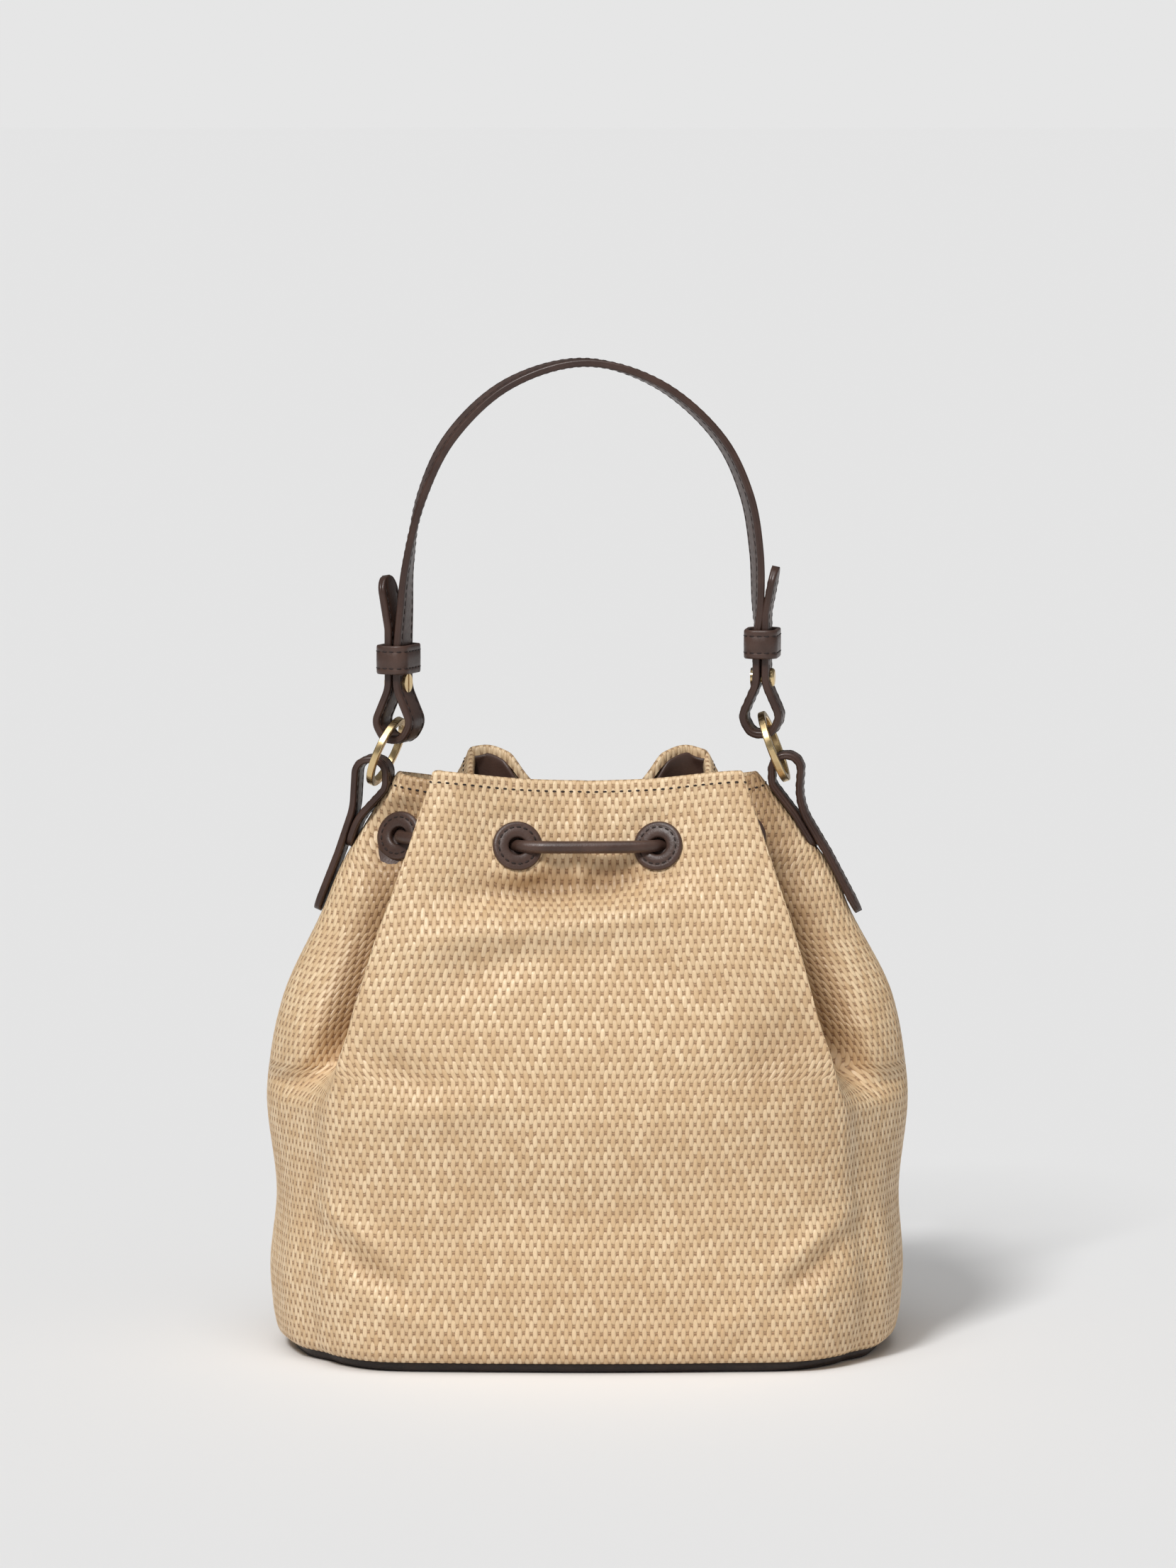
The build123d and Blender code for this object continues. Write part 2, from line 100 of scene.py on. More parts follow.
def catmull(points, steps, closed=False):
    """Smooth curve through the points, with the given number of steps in each run."""
    points = np.asarray(points, float)
    count = len(points)
    if closed:
        ring = np.vstack([points[-1], points, points[0], points[1]])
        runs = count
    else:
        ring = np.vstack([2 * points[0] - points[1], points, 2 * points[-1] - points[-2]])
        runs = count - 1
    gaps = np.maximum(np.linalg.norm(np.diff(ring, axis=0), axis=1), 1e-9) ** 0.5
    result = []
    for run in range(runs):
        p0, p1, p2, p3 = ring[run:run + 4]
        g0, g1, g2 = gaps[run:run + 3]
        m1 = (p2 - p1) / g1 - (p2 - p0) / (g0 + g1) + (p1 - p0) / g0
        m2 = (p3 - p2) / g2 - (p3 - p1) / (g1 + g2) + (p2 - p1) / g1
        m1, m2 = m1 * g1, m2 * g1
        t = np.linspace(0, 1, steps, endpoint=False)[:, None]
        result.append(hermite(p1, m1, p2, m2, t))
    result = np.vstack(result)
    return result if closed else np.vstack([result, points[-1]])


def distances(path):
    """Distance travelled along a path at each of its points."""
    return np.concatenate([[0.0], np.cumsum(np.linalg.norm(np.diff(path, axis=0), axis=1))])


def sampled(places, travelled, table):
    """Rows of a table at the given places along a path."""
    return np.column_stack([np.interp(places, travelled, column) for column in table.T])


def even_steps(points, spacing):
    """Points at even distances along an open row; extra columns are carried along."""
    travelled = distances(points[:, :3])
    count = max(2, int(round(travelled[-1] / spacing)) + 1)
    return sampled(np.linspace(0, travelled[-1], count), travelled, points)


def smooth_interp(x, known_x, known_y):
    """Monotone cubic interpolation, so that a table of levels gives a smooth form."""
    known_x, known_y = np.asarray(known_x, float), np.asarray(known_y, float)
    step = np.diff(known_x)
    slope = np.diff(known_y) / step
    tangent = np.zeros_like(known_y)
    tangent[0], tangent[-1] = slope[0], slope[-1]
    same = slope[:-1] * slope[1:] > 0
    mean = 2 * slope[:-1] * slope[1:] / np.where(same, slope[:-1] + slope[1:], 1)
    tangent[1:-1] = np.where(same, mean, 0)
    index = np.clip(np.searchsorted(known_x, x) - 1, 0, len(step) - 1)
    t = (x - known_x[index]) / step[index]
    rise = tangent[index] * step[index]
    return hermite(known_y[index], rise, known_y[index + 1], tangent[index + 1] * step[index], t)


def smoothstep(x, low, high):
    t = np.clip((x - low) / (high - low), 0, 1)
    return t * t * (3 - 2 * t)


# ---- meshes ----
def add_object(name, data):
    """A new object in the scene's collection."""
    obj = bpy.data.objects.new(name, data)
    bpy.context.collection.objects.link(obj)
    return obj


def new_piece(name, points, faces, materials, body, slot, kinds=None, replaces=()):
    """A smooth-shaded piece that rides on a body and stands for the named CAD nodes."""
    mesh = bpy.data.meshes.new(name)
    mesh.from_pydata(metres(points).reshape(-1, 3).tolist(), [], [tuple(map(int, face)) for face in faces])
    for material in materials:
        mesh.materials.append(material)
    if kinds is not None:
        mesh.polygons.foreach_set("material_index", np.asarray(kinds, np.int32))
    mesh.polygons.foreach_set("use_smooth", np.ones(len(mesh.polygons), bool))
    mesh.update()
    obj = add_object(name, mesh)
    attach(obj, body)
    if replaces:
        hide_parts(*replaces)
    return obj


def grid_faces(grid, closed_rows=False, closed_columns=False):
    """Quads between the points of a grid, with the row index changing slowest."""
    rows, columns = grid.shape[:2]
    r = np.arange(rows if closed_rows else rows - 1)
    c = np.arange(columns if closed_columns else columns - 1)
    rr, cc = np.meshgrid(r, c, indexing="ij")
    r1, c1 = (rr + 1) % rows, (cc + 1) % columns
    quads = np.stack([rr * columns + cc, rr * columns + c1, r1 * columns + c1, r1 * columns + cc], -1)
    return quads.reshape(-1, 4)


def capped_faces(rows):
    """Faces of a tube of rows of points, with one flat face over each end."""
    count = rows.shape[1]
    last = (rows.shape[0] - 1) * count
    caps = [list(range(count))[::-1], [last + k for k in range(count)]]
    return grid_faces(rows, closed_columns=True).tolist() + caps


def unit(vectors):
    vectors = np.asarray(vectors, float)
    return vectors / np.maximum(np.linalg.norm(vectors, axis=-1, keepdims=True), 1e-12)


def square_to(along, vectors):
    """Unit vectors square to unit directions, each nearest to its given vector."""
    return unit(vectors - (vectors * along).sum(-1, keepdims=True) * along)


def round_steps(count):
    """Angles of a full turn in even steps."""
    return np.arange(count) * 2 * np.pi / count


def circle_of(angles, first, second):
    """Unit vectors at angles in the plane of two directions."""
    return np.cos(angles)[:, None] * first + np.sin(angles)[:, None] * second


def bead(length, radius, sides=6):
    """Vertices and faces of one small rounded stitch along X."""
    profile = [(-0.5, 0.0), (-0.42, 0.62), (-0.2, 1.0), (0.2, 1.0), (0.42, 0.62), (0.5, 0.0)]
    ring = circle_of(round_steps(sides), (0.0, 1.0, 0.0), (0.0, 0.0, 1.0))
    rows = np.array([ring * thick * radius + (along * length, 0.0, 0.0) for along, thick in profile])
    return rows.reshape(-1, 3), grid_faces(rows, closed_columns=True)


def scattered(template, centres, along, up, squash=1.0):
    """Copies of a template, each turned to its own directions."""
    vertices, faces = template
    along = unit(along)
    up = square_to(along, up)
    side = np.cross(up, along)
    every = (
        centres[:, None, :]
        + along[:, None, :] * vertices[None, :, 0:1]
        + side[:, None, :] * vertices[None, :, 1:2]
        + up[:, None, :] * vertices[None, :, 2:3] * squash
    )
    offsets = np.arange(len(centres))[:, None, None] * len(vertices)
    return every.reshape(-1, 3), (faces[None] + offsets).reshape(-1, 4)


def joined(parts):
    """One list of vertices and faces from several."""
    vertices, faces, start = [], [], 0
    for part_vertices, part_faces in parts:
        vertices.append(part_vertices)
        faces.append(np.asarray(part_faces) + start)
        start += len(part_vertices)
    return np.vstack(vertices), np.vstack(faces)


def mesh_points(mesh):
    """Vertices of a mesh, in millimetres."""
    return np.array([vertex.co[:] for vertex in mesh.vertices]) / MM


def box_centre(node):
    """Centre of a CAD node's box, in millimetres."""
    low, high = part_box(node)
    return (np.array(low[:]) + np.array(high[:])) / 2 / MM


# ---- materials ----
class Shader:
    """A material with one Principled surface, and short calls for the nodes that feed it."""

    def __init__(self, name, **values):
        self.material = bpy.data.materials.new(name)
        self.material.use_nodes = True
        self.tree = self.material.node_tree
        self.surface = self.tree.nodes["Principled BSDF"]
        for socket, value in values.items():
            self.feed(socket.replace("_", " "), value)

    def node(self, kind, **inputs):
        made = self.tree.nodes.new(kind)
        for key, value in inputs.items():
            self.link(value, made.inputs[key.replace("_", " ")])
        return made

    def link(self, value, socket):
        if isinstance(value, bpy.types.NodeSocket):
            self.tree.links.new(value, socket)
        else:
            # A colour is given as red, green and blue.
            socket.default_value = (*value, 1) if socket.type == "RGBA" else value

    def maths(self, operation, *values, clamp=False):
        made = self.tree.nodes.new("ShaderNodeMath")
        made.operation = operation
        made.use_clamp = clamp
        for socket, value in zip(made.inputs, values):
            self.link(value, socket)
        return made.outputs[0]

    def between(self, share, first, second):
        """The first value where the share is 1, the second where it is 0."""
        rest = self.maths("MULTIPLY", self.maths("SUBTRACT", 1.0, share), second)
        return self.maths("ADD", self.maths("MULTIPLY", share, first), rest)

    def mix(self, share, first, second, blend="MIX"):
        made = self.tree.nodes.new("ShaderNodeMix")
        made.data_type = "RGBA"
        made.blend_type = blend
        self.link(share, made.inputs[0])
        self.link(first, made.inputs[6])
        self.link(second, made.inputs[7])
        return made.outputs[2]

    def ramp(self, value, low, high, out_low=0.0, out_high=1.0):
        made = self.tree.nodes.new("ShaderNodeMapRange")
        made.interpolation_type = "SMOOTHSTEP"
        for socket, entry in zip(made.inputs, (value, low, high, out_low, out_high)):
            self.link(entry, socket)
        return made.outputs[0]

    def position(self, stretch=(1.0, 1.0, 1.0)):
        return self.stretched(self.node("ShaderNodeTexCoord").outputs["Object"], stretch)

    def stretched(self, vector, stretch):
        return self.node("ShaderNodeMapping", Vector=vector, Scale=stretch).outputs[0]

    def noise(self, scale, detail=3.0, place=None, roughness=0.5):
        place = place or self.position()
        made = self.node("ShaderNodeTexNoise", Vector=place, Scale=scale, Detail=detail, Roughness=roughness)
        return made.outputs["Fac"]

    def waves(self, place, scale, distortion):
        made = self.node("ShaderNodeTexWave", Vector=place, Scale=scale, Distortion=distortion)
        return made.outputs["Fac"]

    def feed(self, socket, value):
        self.link(value, self.surface.inputs[socket])

    def finished(self, colour, roughness, height, strength, distance):
        """The material, once its surface has its colour, gloss and relief."""
        relief = self.node("ShaderNodeBump", Strength=strength, Distance=distance, Height=height)
        self.feed("Base Color", colour)
        self.feed("Roughness", roughness)
        self.feed("Normal", relief.outputs[0])
        return self.material


def leather(name, dark, light, roughness=0.42, grain=1.0):
    """Smooth dressed leather: fine pores, soft cloudy colour and slightly uneven gloss."""
    shader = Shader(name, Specular_IOR_Level=0.5)
    cloud = shader.noise(90.0, 4.0)
    pores = shader.node("ShaderNodeTexVoronoi", Vector=shader.position(), Scale=1500.0).outputs["Distance"]
    wrinkle = shader.noise(700.0, 5.0, roughness=0.65)
    colour = shader.mix(shader.ramp(cloud, 0.3, 0.7), dark, light)
    gloss = shader.ramp(wrinkle, 0.25, 0.8, roughness - 0.07, roughness + 0.09)
    height = shader.maths("ADD", shader.maths("MULTIPLY", pores, 0.5), wrinkle)
    return shader.finished(colour, gloss, height, 0.28 * grain, 0.00022)


def metal(name):
    """Brushed gold-coloured metal with fine circular drag marks."""
    shader = Shader(name, Metallic=1.0, Anisotropic=0.35)
    streaks = shader.noise(900.0, 3.0, shader.position((0.25, 1.0, 0.25)))
    colour = shader.mix(shader.noise(160.0, 2.0), (0.70, 0.50, 0.24), (0.86, 0.67, 0.38))
    return shader.finished(colour, shader.ramp(streaks, 0.25, 0.75, 0.20, 0.38), streaks, 0.12, 0.00006)


TAPE_HALF_WIDTH, TAPE_HALF_LENGTH = 0.66, 0.80  # in columns and rows
WIDTH_POWER, LENGTH_POWER = 2.4, 3.0  # how square the ends of a tape are
WEFT_THREADS = 3.0  # threads side by side in a row
TAPE_DARK, TAPE_LIGHT, TAPE_WARM = (0.70, 0.485, 0.275), (0.92, 0.71, 0.46), (0.64, 0.42, 0.22)
# Painted shade: this colour is multiplied into the straw where it lies in a side fold or a dent.
PAINTED_FOLD_SHADE = (0.58, 0.50, 0.42)
# The tape edge colour is painted shade at the edges of each tape, where it curves down under the weft.
TAPE_EDGE_PAINTED_SHADE, WEFT_DARK, WEFT_LIGHT = (0.49, 0.305, 0.155), (0.34, 0.205, 0.115), (0.52, 0.33, 0.185)


def woven(name):
    """Plain weave of flat glossy straw tapes, with painted shade in the side folds, in the dents and at the
    tape edges. UV: columns of tape across, rows of weft up.
    """
    shader = Shader(name, Specular_IOR_Level=0.5)
    maths, mix, ramp, noise = shader.maths, shader.mix, shader.ramp, shader.noise
    uv = shader.node("ShaderNodeUVMap")
    uv.uv_map = "weave"
    uv = uv.outputs[0]
    parts = shader.node("ShaderNodeSeparateXYZ", Vector=uv).outputs

    def strayed(coordinate, stretch):
        """A coordinate that strays by a part of a column or row."""
        stray = maths("SUBTRACT", noise(1.0, 1.0, shader.stretched(uv, stretch)), 0.5)
        return maths("ADD", coordinate, maths("MULTIPLY", stray, 0.5))

    u = strayed(parts[0], (0.08, 0.5, 1.0))
    v = strayed(parts[1], (0.5, 0.08, 1.0))

    def lattice(shift):
        """Reach of the nearest tape of every other column and row, and its own random value."""
        number, reach = {"Z": shift}, []
        for letter, place, start, half, power in (
            ("X", u, 0.5, TAPE_HALF_WIDTH, WIDTH_POWER), ("Y", v, 1.0, TAPE_HALF_LENGTH, LENGTH_POWER),
        ):
            moved = maths("ADD", place, start - shift)
            away = maths("ABSOLUTE", maths("SUBTRACT", maths("FLOORED_MODULO", moved, 2.0), 1.0))
            reach.append(maths("POWER", maths("DIVIDE", away, half), power))
            number[letter] = maths("FLOOR", maths("DIVIDE", moved, 2.0))
        own = shader.node("ShaderNodeCombineXYZ", **number).outputs[0]
        return maths("ADD", *reach), shader.node("ShaderNodeTexWhiteNoise", Vector=own).outputs["Value"]

    reach_a, chance_a = lattice(0.0)
    reach_b, chance_b = lattice(1.0)
    reach = maths("MINIMUM", reach_a, reach_b)
    chance = shader.between(maths("LESS_THAN", reach_a, reach_b), chance_a, chance_b)
    tape = ramp(reach, 1.12, 0.80)
    crown = maths("SQRT", maths("SUBTRACT", 1.0, reach, clamp=True))
    tint = mix(chance, TAPE_DARK, TAPE_LIGHT)
    tint = mix(ramp(noise(30.0, 3.0), 0.35, 0.7, 0.0, 0.28), tint, TAPE_WARM)
    grain = shader.node("ShaderNodeCombineXYZ", X=maths("MULTIPLY", u, 7.0), Y=maths("MULTIPLY", v, 0.9))
    fibre = noise(1.0, 2.0, grain.outputs[0])
    tint = mix(ramp(fibre, 0.35, 0.75, 0.0, 0.30), tint, TAPE_WARM)
    # Painted shade: each tape darkens from its crown towards its edges, so its crown reads as lit.
    tape_colour_with_painted_edge_shade = mix(ramp(crown, 0.0, 0.85, 0.15, 1.0), TAPE_EDGE_PAINTED_SHADE, tint)
    lines = maths("SINE", maths("MULTIPLY", v, 6.2832 * WEFT_THREADS))
    weft = mix(ramp(lines, -0.3, 0.5), WEFT_DARK, WEFT_LIGHT)
    # Painted shade: the fold attribute darkens the straw just behind the side folds and in the dents.
    fold = shader.node("ShaderNodeAttribute")
    fold.attribute_name = "fold"
    painted_shade_share = ramp(fold.outputs["Fac"], 0.05, 0.9, 0.0, 0.85)
    colour = mix(painted_shade_share, mix(tape, weft, tape_colour_with_painted_edge_shade), PAINTED_FOLD_SHADE, "MULTIPLY")
    gloss = shader.between(tape, ramp(chance, 0.0, 1.0, 0.50, 0.34), 0.8)
    height = maths("ADD", crown, maths("MULTIPLY", fibre, 0.3))
    return shader.finished(colour, gloss, height, 0.7, 0.00045)


def plain_cloth(name, dark, light):
    """Thin lining twill."""
    shader = Shader(name, Specular_IOR_Level=0.25, Sheen_Weight=0.25)
    weave = shader.waves(shader.position(), 420.0, 0.6)
    gloss = shader.ramp(shader.noise(300.0), 0.2, 0.8, 0.72, 0.9)
    return shader.finished(shader.mix(weave, dark, light), gloss, weave, 0.2, 0.0002)


def thread(name, dark, light):
    """Twisted sewing thread."""
    shader = Shader(name, Specular_IOR_Level=0.4)
    twist = shader.waves(shader.position((1.0, 1.0, 0.6)), 1400.0, 1.5)
    gloss = shader.ramp(twist, 0.0, 1.0, 0.5, 0.7)
    return shader.finished(shader.mix(twist, dark, light), gloss, twist, 0.3, 0.0001)


brown = leather("brown_leather", (0.056, 0.029, 0.021), (0.086, 0.046, 0.034))
edge_paint = leather("painted_edge", (0.046, 0.023, 0.017), (0.070, 0.036, 0.026), 0.36, 0.4)
# The base's own dark brown leather, made near black as painted shadow for the shade under the bag.
base_leather_and_painted_shadow = leather("dark_base_leather_and_painted_shadow", (0.016, 0.010, 0.009), (0.030, 0.018, 0.015), 0.5)
gold = metal("brushed_gold")
straw = woven("woven_straw_with_painted_shade")
lining_cloth = plain_cloth("lining_cloth", (0.20, 0.15, 0.11), (0.30, 0.23, 0.17))
dark_thread = thread("brown_thread", (0.012, 0.007, 0.006), (0.035, 0.018, 0.014))
red_thread = thread("reddish_thread", (0.085, 0.030, 0.020), (0.20, 0.085, 0.055))



def leather_piece(node, points, faces, body="bag", materials=(brown,), kinds=None):
    """A leather piece that takes its name from the CAD node it stands for."""
    return new_piece(f"{node}_leather", points, faces, materials, body, "leather", kinds, (node,))


# ---- outline of the body ----
STEPS = 2 * QUARTER  # half columns in each quarter
AROUND = 4 * STEPS
LOWEST, HIGHEST = 1, 224
EYELET_Z = 191.0
DEPTH_SHARE = 1.6  # an inset's share of the depth, against its share of the width
HALF_PITCH = WARP_PITCH / 2
RUN_STEPS = 16  # steps between two control points of the outline


def quarter_points(half, fold):
    """Control points of a quarter on the positive side, from the centre to just before the fold."""
    centre, shoulder, corner_x, corner_y, valley_x, valley_y = half
    crisp = min(1.0, max(0.0, (corner_x + 8.0 - valley_x) / 14.0))
    bulge = 0.72 + 0.68 * crisp * min(1.0, max(0.0, (fold - 82.0) / 14.0))
    near, far = 0.92 + 0.035 * crisp, 0.78 + 0.15 * crisp
    turn, back, deep = 0.38 + 0.22 * crisp, 0.80 + 0.04 * crisp, 0.55 - 0.05 * crisp
    crest = 0.5 + 0.05 * crisp
    return [
        (0.0, centre),
        (0.45 * corner_x, 0.62 * centre + 0.38 * shoulder),
        (0.82 * corner_x, shoulder),
        (near * corner_x, (1 - turn) * shoulder + turn * corner_y),
        (corner_x, corner_y),
        (far * corner_x + (1 - far) * valley_x, back * corner_y + (1 - back) * valley_y),
        (0.6 * corner_x + 0.4 * valley_x, deep * corner_y + (1 - deep) * valley_y),
        (valley_x, valley_y),
        ((1 - crest) * valley_x + crest * fold, bulge * valley_y),
        (fold - 0.05 * (fold - valley_x) - 0.4, 0.5 * bulge * valley_y),
    ]


def level_at(z):
    """The outline's twelve half numbers and two folds at a height."""
    heights = [level[0] for level in BODY_LEVELS]
    rows = np.array([[*level[1], *level[2], *level[3:]] for level in BODY_LEVELS])
    if z > heights[-1]:
        share = 0.8 * (z - heights[-1]) / (heights[-1] - heights[-2])
        return list(rows[-1] + (rows[-1] - rows[-2]) * share)
    inside = np.array([max(z, heights[0])])
    return [float(smooth_interp(inside, heights, column)[0]) for column in rows.T]


def foot_inset(z):
    """How far the rounded foot of the body pulls in, as a share of its half width."""
    return float(np.interp(z, [1.0, 4.0, 4.7, 5.9, 7.8, 10.5, 14.0],
                           [0.048, 0.038, 0.028, 0.016, 0.008, 0.003, 0.0]))


def outline_runs(z):
    """The four quarters of the outline at a height, each from the centre of a face to the fold."""
    numbers = level_at(z)
    front, back, left, right = numbers[0:6], numbers[6:12], numbers[12], numbers[13]
    a, b = quarter_points(front, right), quarter_points(back, right)
    c, d = [[(-x, y) for x, y in quarter_points(half, left)] for half in (back, front)]
    loop = a + [(right, 0.0)] + b[::-1] + c[1:] + [(-left, 0.0)] + d[::-1][:-1]
    curve = catmull(loop, RUN_STEPS, closed=True)
    steps = RUN_STEPS * len(a)
    share = foot_inset(z)
    curve = np.vstack([curve, curve[:1]]) * (1 - share, 1 - DEPTH_SHARE * share)
    runs = [curve[part * steps:(part + 1) * steps + 1] for part in range(4)]
    return [run[::-1] if part % 2 else run for part, run in enumerate(runs)]


def outline_rows(z):
    """Points and tangents round the body at a height: at tape pitch, and evenly spread."""
    pitch_rows, even_rows, lengths = [], [], []
    for part, run in enumerate(outline_runs(z)):
        travelled = distances(run)
        lead = unit(np.gradient(run, axis=0)) * (-1 if part % 2 else 1)
        carried = np.column_stack([run, lead])
        pitch = max(HALF_PITCH, travelled[-1] / STEPS)
        for rows, places in (
            (pitch_rows, np.minimum(np.arange(STEPS + 1) * pitch, travelled[-1])),
            (even_rows, np.linspace(0, travelled[-1], STEPS + 1)),
        ):
            row = sampled(places, travelled, carried)
            rows.append(row[::-1][:-1] if part % 2 else row[:-1])
        lengths.append(travelled[-1])
    return np.vstack(pitch_rows), np.vstack(even_rows), lengths


LEVELS = np.arange(LOWEST, HIGHEST + 1)
every_row = [outline_rows(float(z)) for z in LEVELS]
WOVEN_TABLE = np.stack([row[0] for row in every_row])
EVEN_TABLE = np.stack([row[1] for row in every_row])
RIM_LENGTHS = every_row[int(RIM_NOMINAL) - LOWEST][2]
LEVEL_NUMBERS = np.array([level_at(float(z)) for z in LEVELS])


def look_up(table, around, z):
    """Points and tangents from a table at steps round the body and heights."""
    place = np.clip(z, LOWEST, HIGHEST - 1e-6) - LOWEST
    row = np.floor(place).astype(int)
    t = (place - row)[..., None]
    k = np.mod(around, AROUND)
    found = table[row, k] * (1 - t) + table[row + 1, k] * t
    return found[..., :2], found[..., 2:]


def outward_normal(table, around, z):
    """Unit normal of the body, outwards, in three dimensions."""
    lead = look_up(table, around, z)[1]
    flat = unit(np.stack([lead[..., 1], -lead[..., 0]], -1))
    rise = look_up(table, around, z + 2.0)[0] - look_up(table, around, z - 2.0)[0]
    slope = np.clip((rise * flat).sum(-1) / 4.0, -1.2, 1.2)
    return unit(np.concatenate([flat, -slope[..., None]], -1))


def rim_height(table, around):
    """Height of the rim at steps round the body."""
    k = np.mod(around, AROUND)
    quarter = k // STEPS
    inside = k - quarter * STEPS
    inside = np.where(quarter % 2 == 0, inside, STEPS - inside)
    share = inside / STEPS
    if table is WOVEN_TABLE:
        share = np.minimum(inside * HALF_PITCH / np.array(RIM_LENGTHS)[quarter], 1.0)
    front = smooth_interp(share, *FRONT_RIM)
    back = smooth_interp(share, *BACK_RIM)
    return np.where((quarter == 0) | (quarter == 3), front, back)


def fabric_height(table, around, nominal):
    """Height of a row of cloth: level at the foot, following the rim at the top."""
    drop = rim_height(table, around) - RIM_NOMINAL
    return nominal + drop * smoothstep(nominal, 120.0, RIM_NOMINAL)


def painted_fold_shade(points, quarter):
    """Painted shade for each point of a quarter, from 0 to 1: darker just behind the corner of a side fold
    and in the dents.
    """
    first = 2 if quarter in (0, 3) else 8
    row = np.clip(points[..., 2] - LOWEST, 0, len(LEVELS) - 1).astype(int)
    corner = LEVEL_NUMBERS[row][..., first:first + 2]
    beside = np.abs(points[..., 0]) - corner[..., 0]
    behind = np.abs(corner[..., 1]) - np.abs(points[..., 1])
    side = (
        np.exp(-((np.maximum(beside, 0) / 11.0) ** 2)) * smoothstep(behind, 6.0, 20.0)
        * smoothstep(points[..., 2], 98.0, 130.0)
    )
    return np.clip(side + 0.75 * np.clip(-dent(points) / 6.0, 0, 1), 0, 1)


# ---- eyelets read from the frame ----
EYELETS = []  # outward axis and middle of the seat
SEAT_DEPTH = 1.05  # from the middle of a disc back to the cloth under it
HELD_FLAT, HELD_LOOSE = 9.6, 16.0  # the cloth lies flat under a disc and is free beyond
at_cord, _ = look_up(EVEN_TABLE, np.arange(AROUND), np.full(AROUND, EYELET_Z))
for number in range(1, 13):
    node = f"eyelet_{number:02d}"
    cloud = mesh_points(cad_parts[node].data)
    heart = box_centre(node)
    axis = np.linalg.eigh(np.cov((cloud - heart).T))[1][:, 0]
    nearest = np.argmin(np.linalg.norm(at_cord - heart[:2], axis=1))
    if np.dot(axis, outward_normal(EVEN_TABLE, np.array([nearest]), np.array([EYELET_Z]))[0]) < 0:
        axis = -axis
    EYELETS.append((axis, heart - SEAT_DEPTH * axis))


def eyelet_distance(points):
    """Distance from each point to the nearest eyelet's seat."""
    return np.min([np.linalg.norm(points - seat, axis=-1) for _, seat in EYELETS], axis=0)


# ---- dents, ridges and buckles of the cloth ----
# (x, z, width along, height, depth outwards, turn in degrees) on each face
FRONT_DENTS = [
    (76, 105, 30, 60, -2.8, 0), (-20, 161, 30, 6, 5.4, 6), (24, 170, 20, 7, 2.6, 14),
    (-14, 177, 30, 6, -6.2, 4), (12, 182, 12, 7, -1.8, 30), (-3, 190, 4, 17, 3, 0),
    (-24, 206, 9, 11, 1.2, 20), (20, 206, 8, 11, 1, -20), (-44, 163, 17, 6, 1.8, 20),
    (-38, 148, 22, 8, -2, 25), (30, 146, 26, 9, -1.4, -15), (-70, 113, 17, 7, -2.6, -25),
    (-50, 98, 26, 7, 1.8, 8), (68, 120, 16, 10, -1.8, 35), (10, 106, 40, 12, -1, 4),
    (-84, 52, 14, 5, 2.2, -35), (-80, 39, 17, 5, -3.6, -35), (-64, 22, 20, 6, 1.8, -30),
    (-52, 60, 16, 8, 1, -10), (84, 50, 16, 5, 2, 38), (80, 37, 17, 5, -3.4, 38),
    (58, 22, 22, 6, 1.6, 25), (56, 58, 20, 8, 1, 8), (-10, 62, 44, 10, -1.2, -3),
]
BACK_DENTS = [
    (-30, 60, 34, 10, -1.4, 6), (35, 110, 30, 12, -1.4, -8), (0, 165, 40, 9, 2, 0),
    (-75, 45, 14, 8, -2, 25), (75, 45, 14, 8, -2, -25),
]


def dent(points):
    """Signed distance to push the cloth outwards at each point."""
    push = np.zeros(points.shape[:-1])
    for side, dents in ((-1, FRONT_DENTS), (1, BACK_DENTS)):
        facing = smoothstep(side * points[..., 1], 18.0, 34.0)
        for x, z, wide, tall, depth, turn in dents:
            angle = math.radians(turn)
            dx, dz = points[..., 0] - x, points[..., 2] - z
            across = dx * math.cos(angle) + dz * math.sin(angle)
            up = dz * math.cos(angle) - dx * math.sin(angle)
            push += depth * facing * np.exp(-((across / wide) ** 2) - (up / tall) ** 2)
    return push


def cloth_surface(table, around, nominal):
    """Points and normals of the cloth at steps round the body and nominal heights."""
    z = fabric_height(table, around, nominal)
    xy, _ = look_up(table, around, z)
    normal = outward_normal(table, around, z)
    points = np.concatenate([xy, z[..., None]], -1)
    points += normal * dent(points)[..., None]
    for axis, seat in EYELETS:
        offset = points - seat
        same_way = (normal * axis).sum(-1) > -0.2
        hold = (1 - smoothstep(np.linalg.norm(offset, axis=-1), HELD_FLAT, HELD_LOOSE)) * same_way
        points = points - (hold * (offset * axis).sum(-1))[..., None] * axis
    return points, normal


# ---- woven body ----
def float_crown(u, v):
    """Height of the straw tape over the weave at column and row positions, from 0 to 1."""
    reaches = []
    for shift in (0.0, 1.0):
        across = np.abs(np.mod(u + 0.5 - shift, 2) - 1) / TAPE_HALF_WIDTH
        along = np.abs(np.mod(v + 1.0 - shift, 2) - 1) / TAPE_HALF_LENGTH
        reaches.append(across**WIDTH_POWER + along**LENGTH_POWER)
    return np.sqrt(np.clip(1 - np.minimum(*reaches), 0, 1))


TURNED_RIM = ((0.45, 0.55), (1.2, 0.85), (2.0, 0.7), (2.5, 0.0), (2.75, -1.4), (2.8, -3.2))
CUT_RADIUS = 4.6  # of the hole in the cloth behind an eyelet
ROW_STEPS = 4  # rows of the mesh to a row of weft


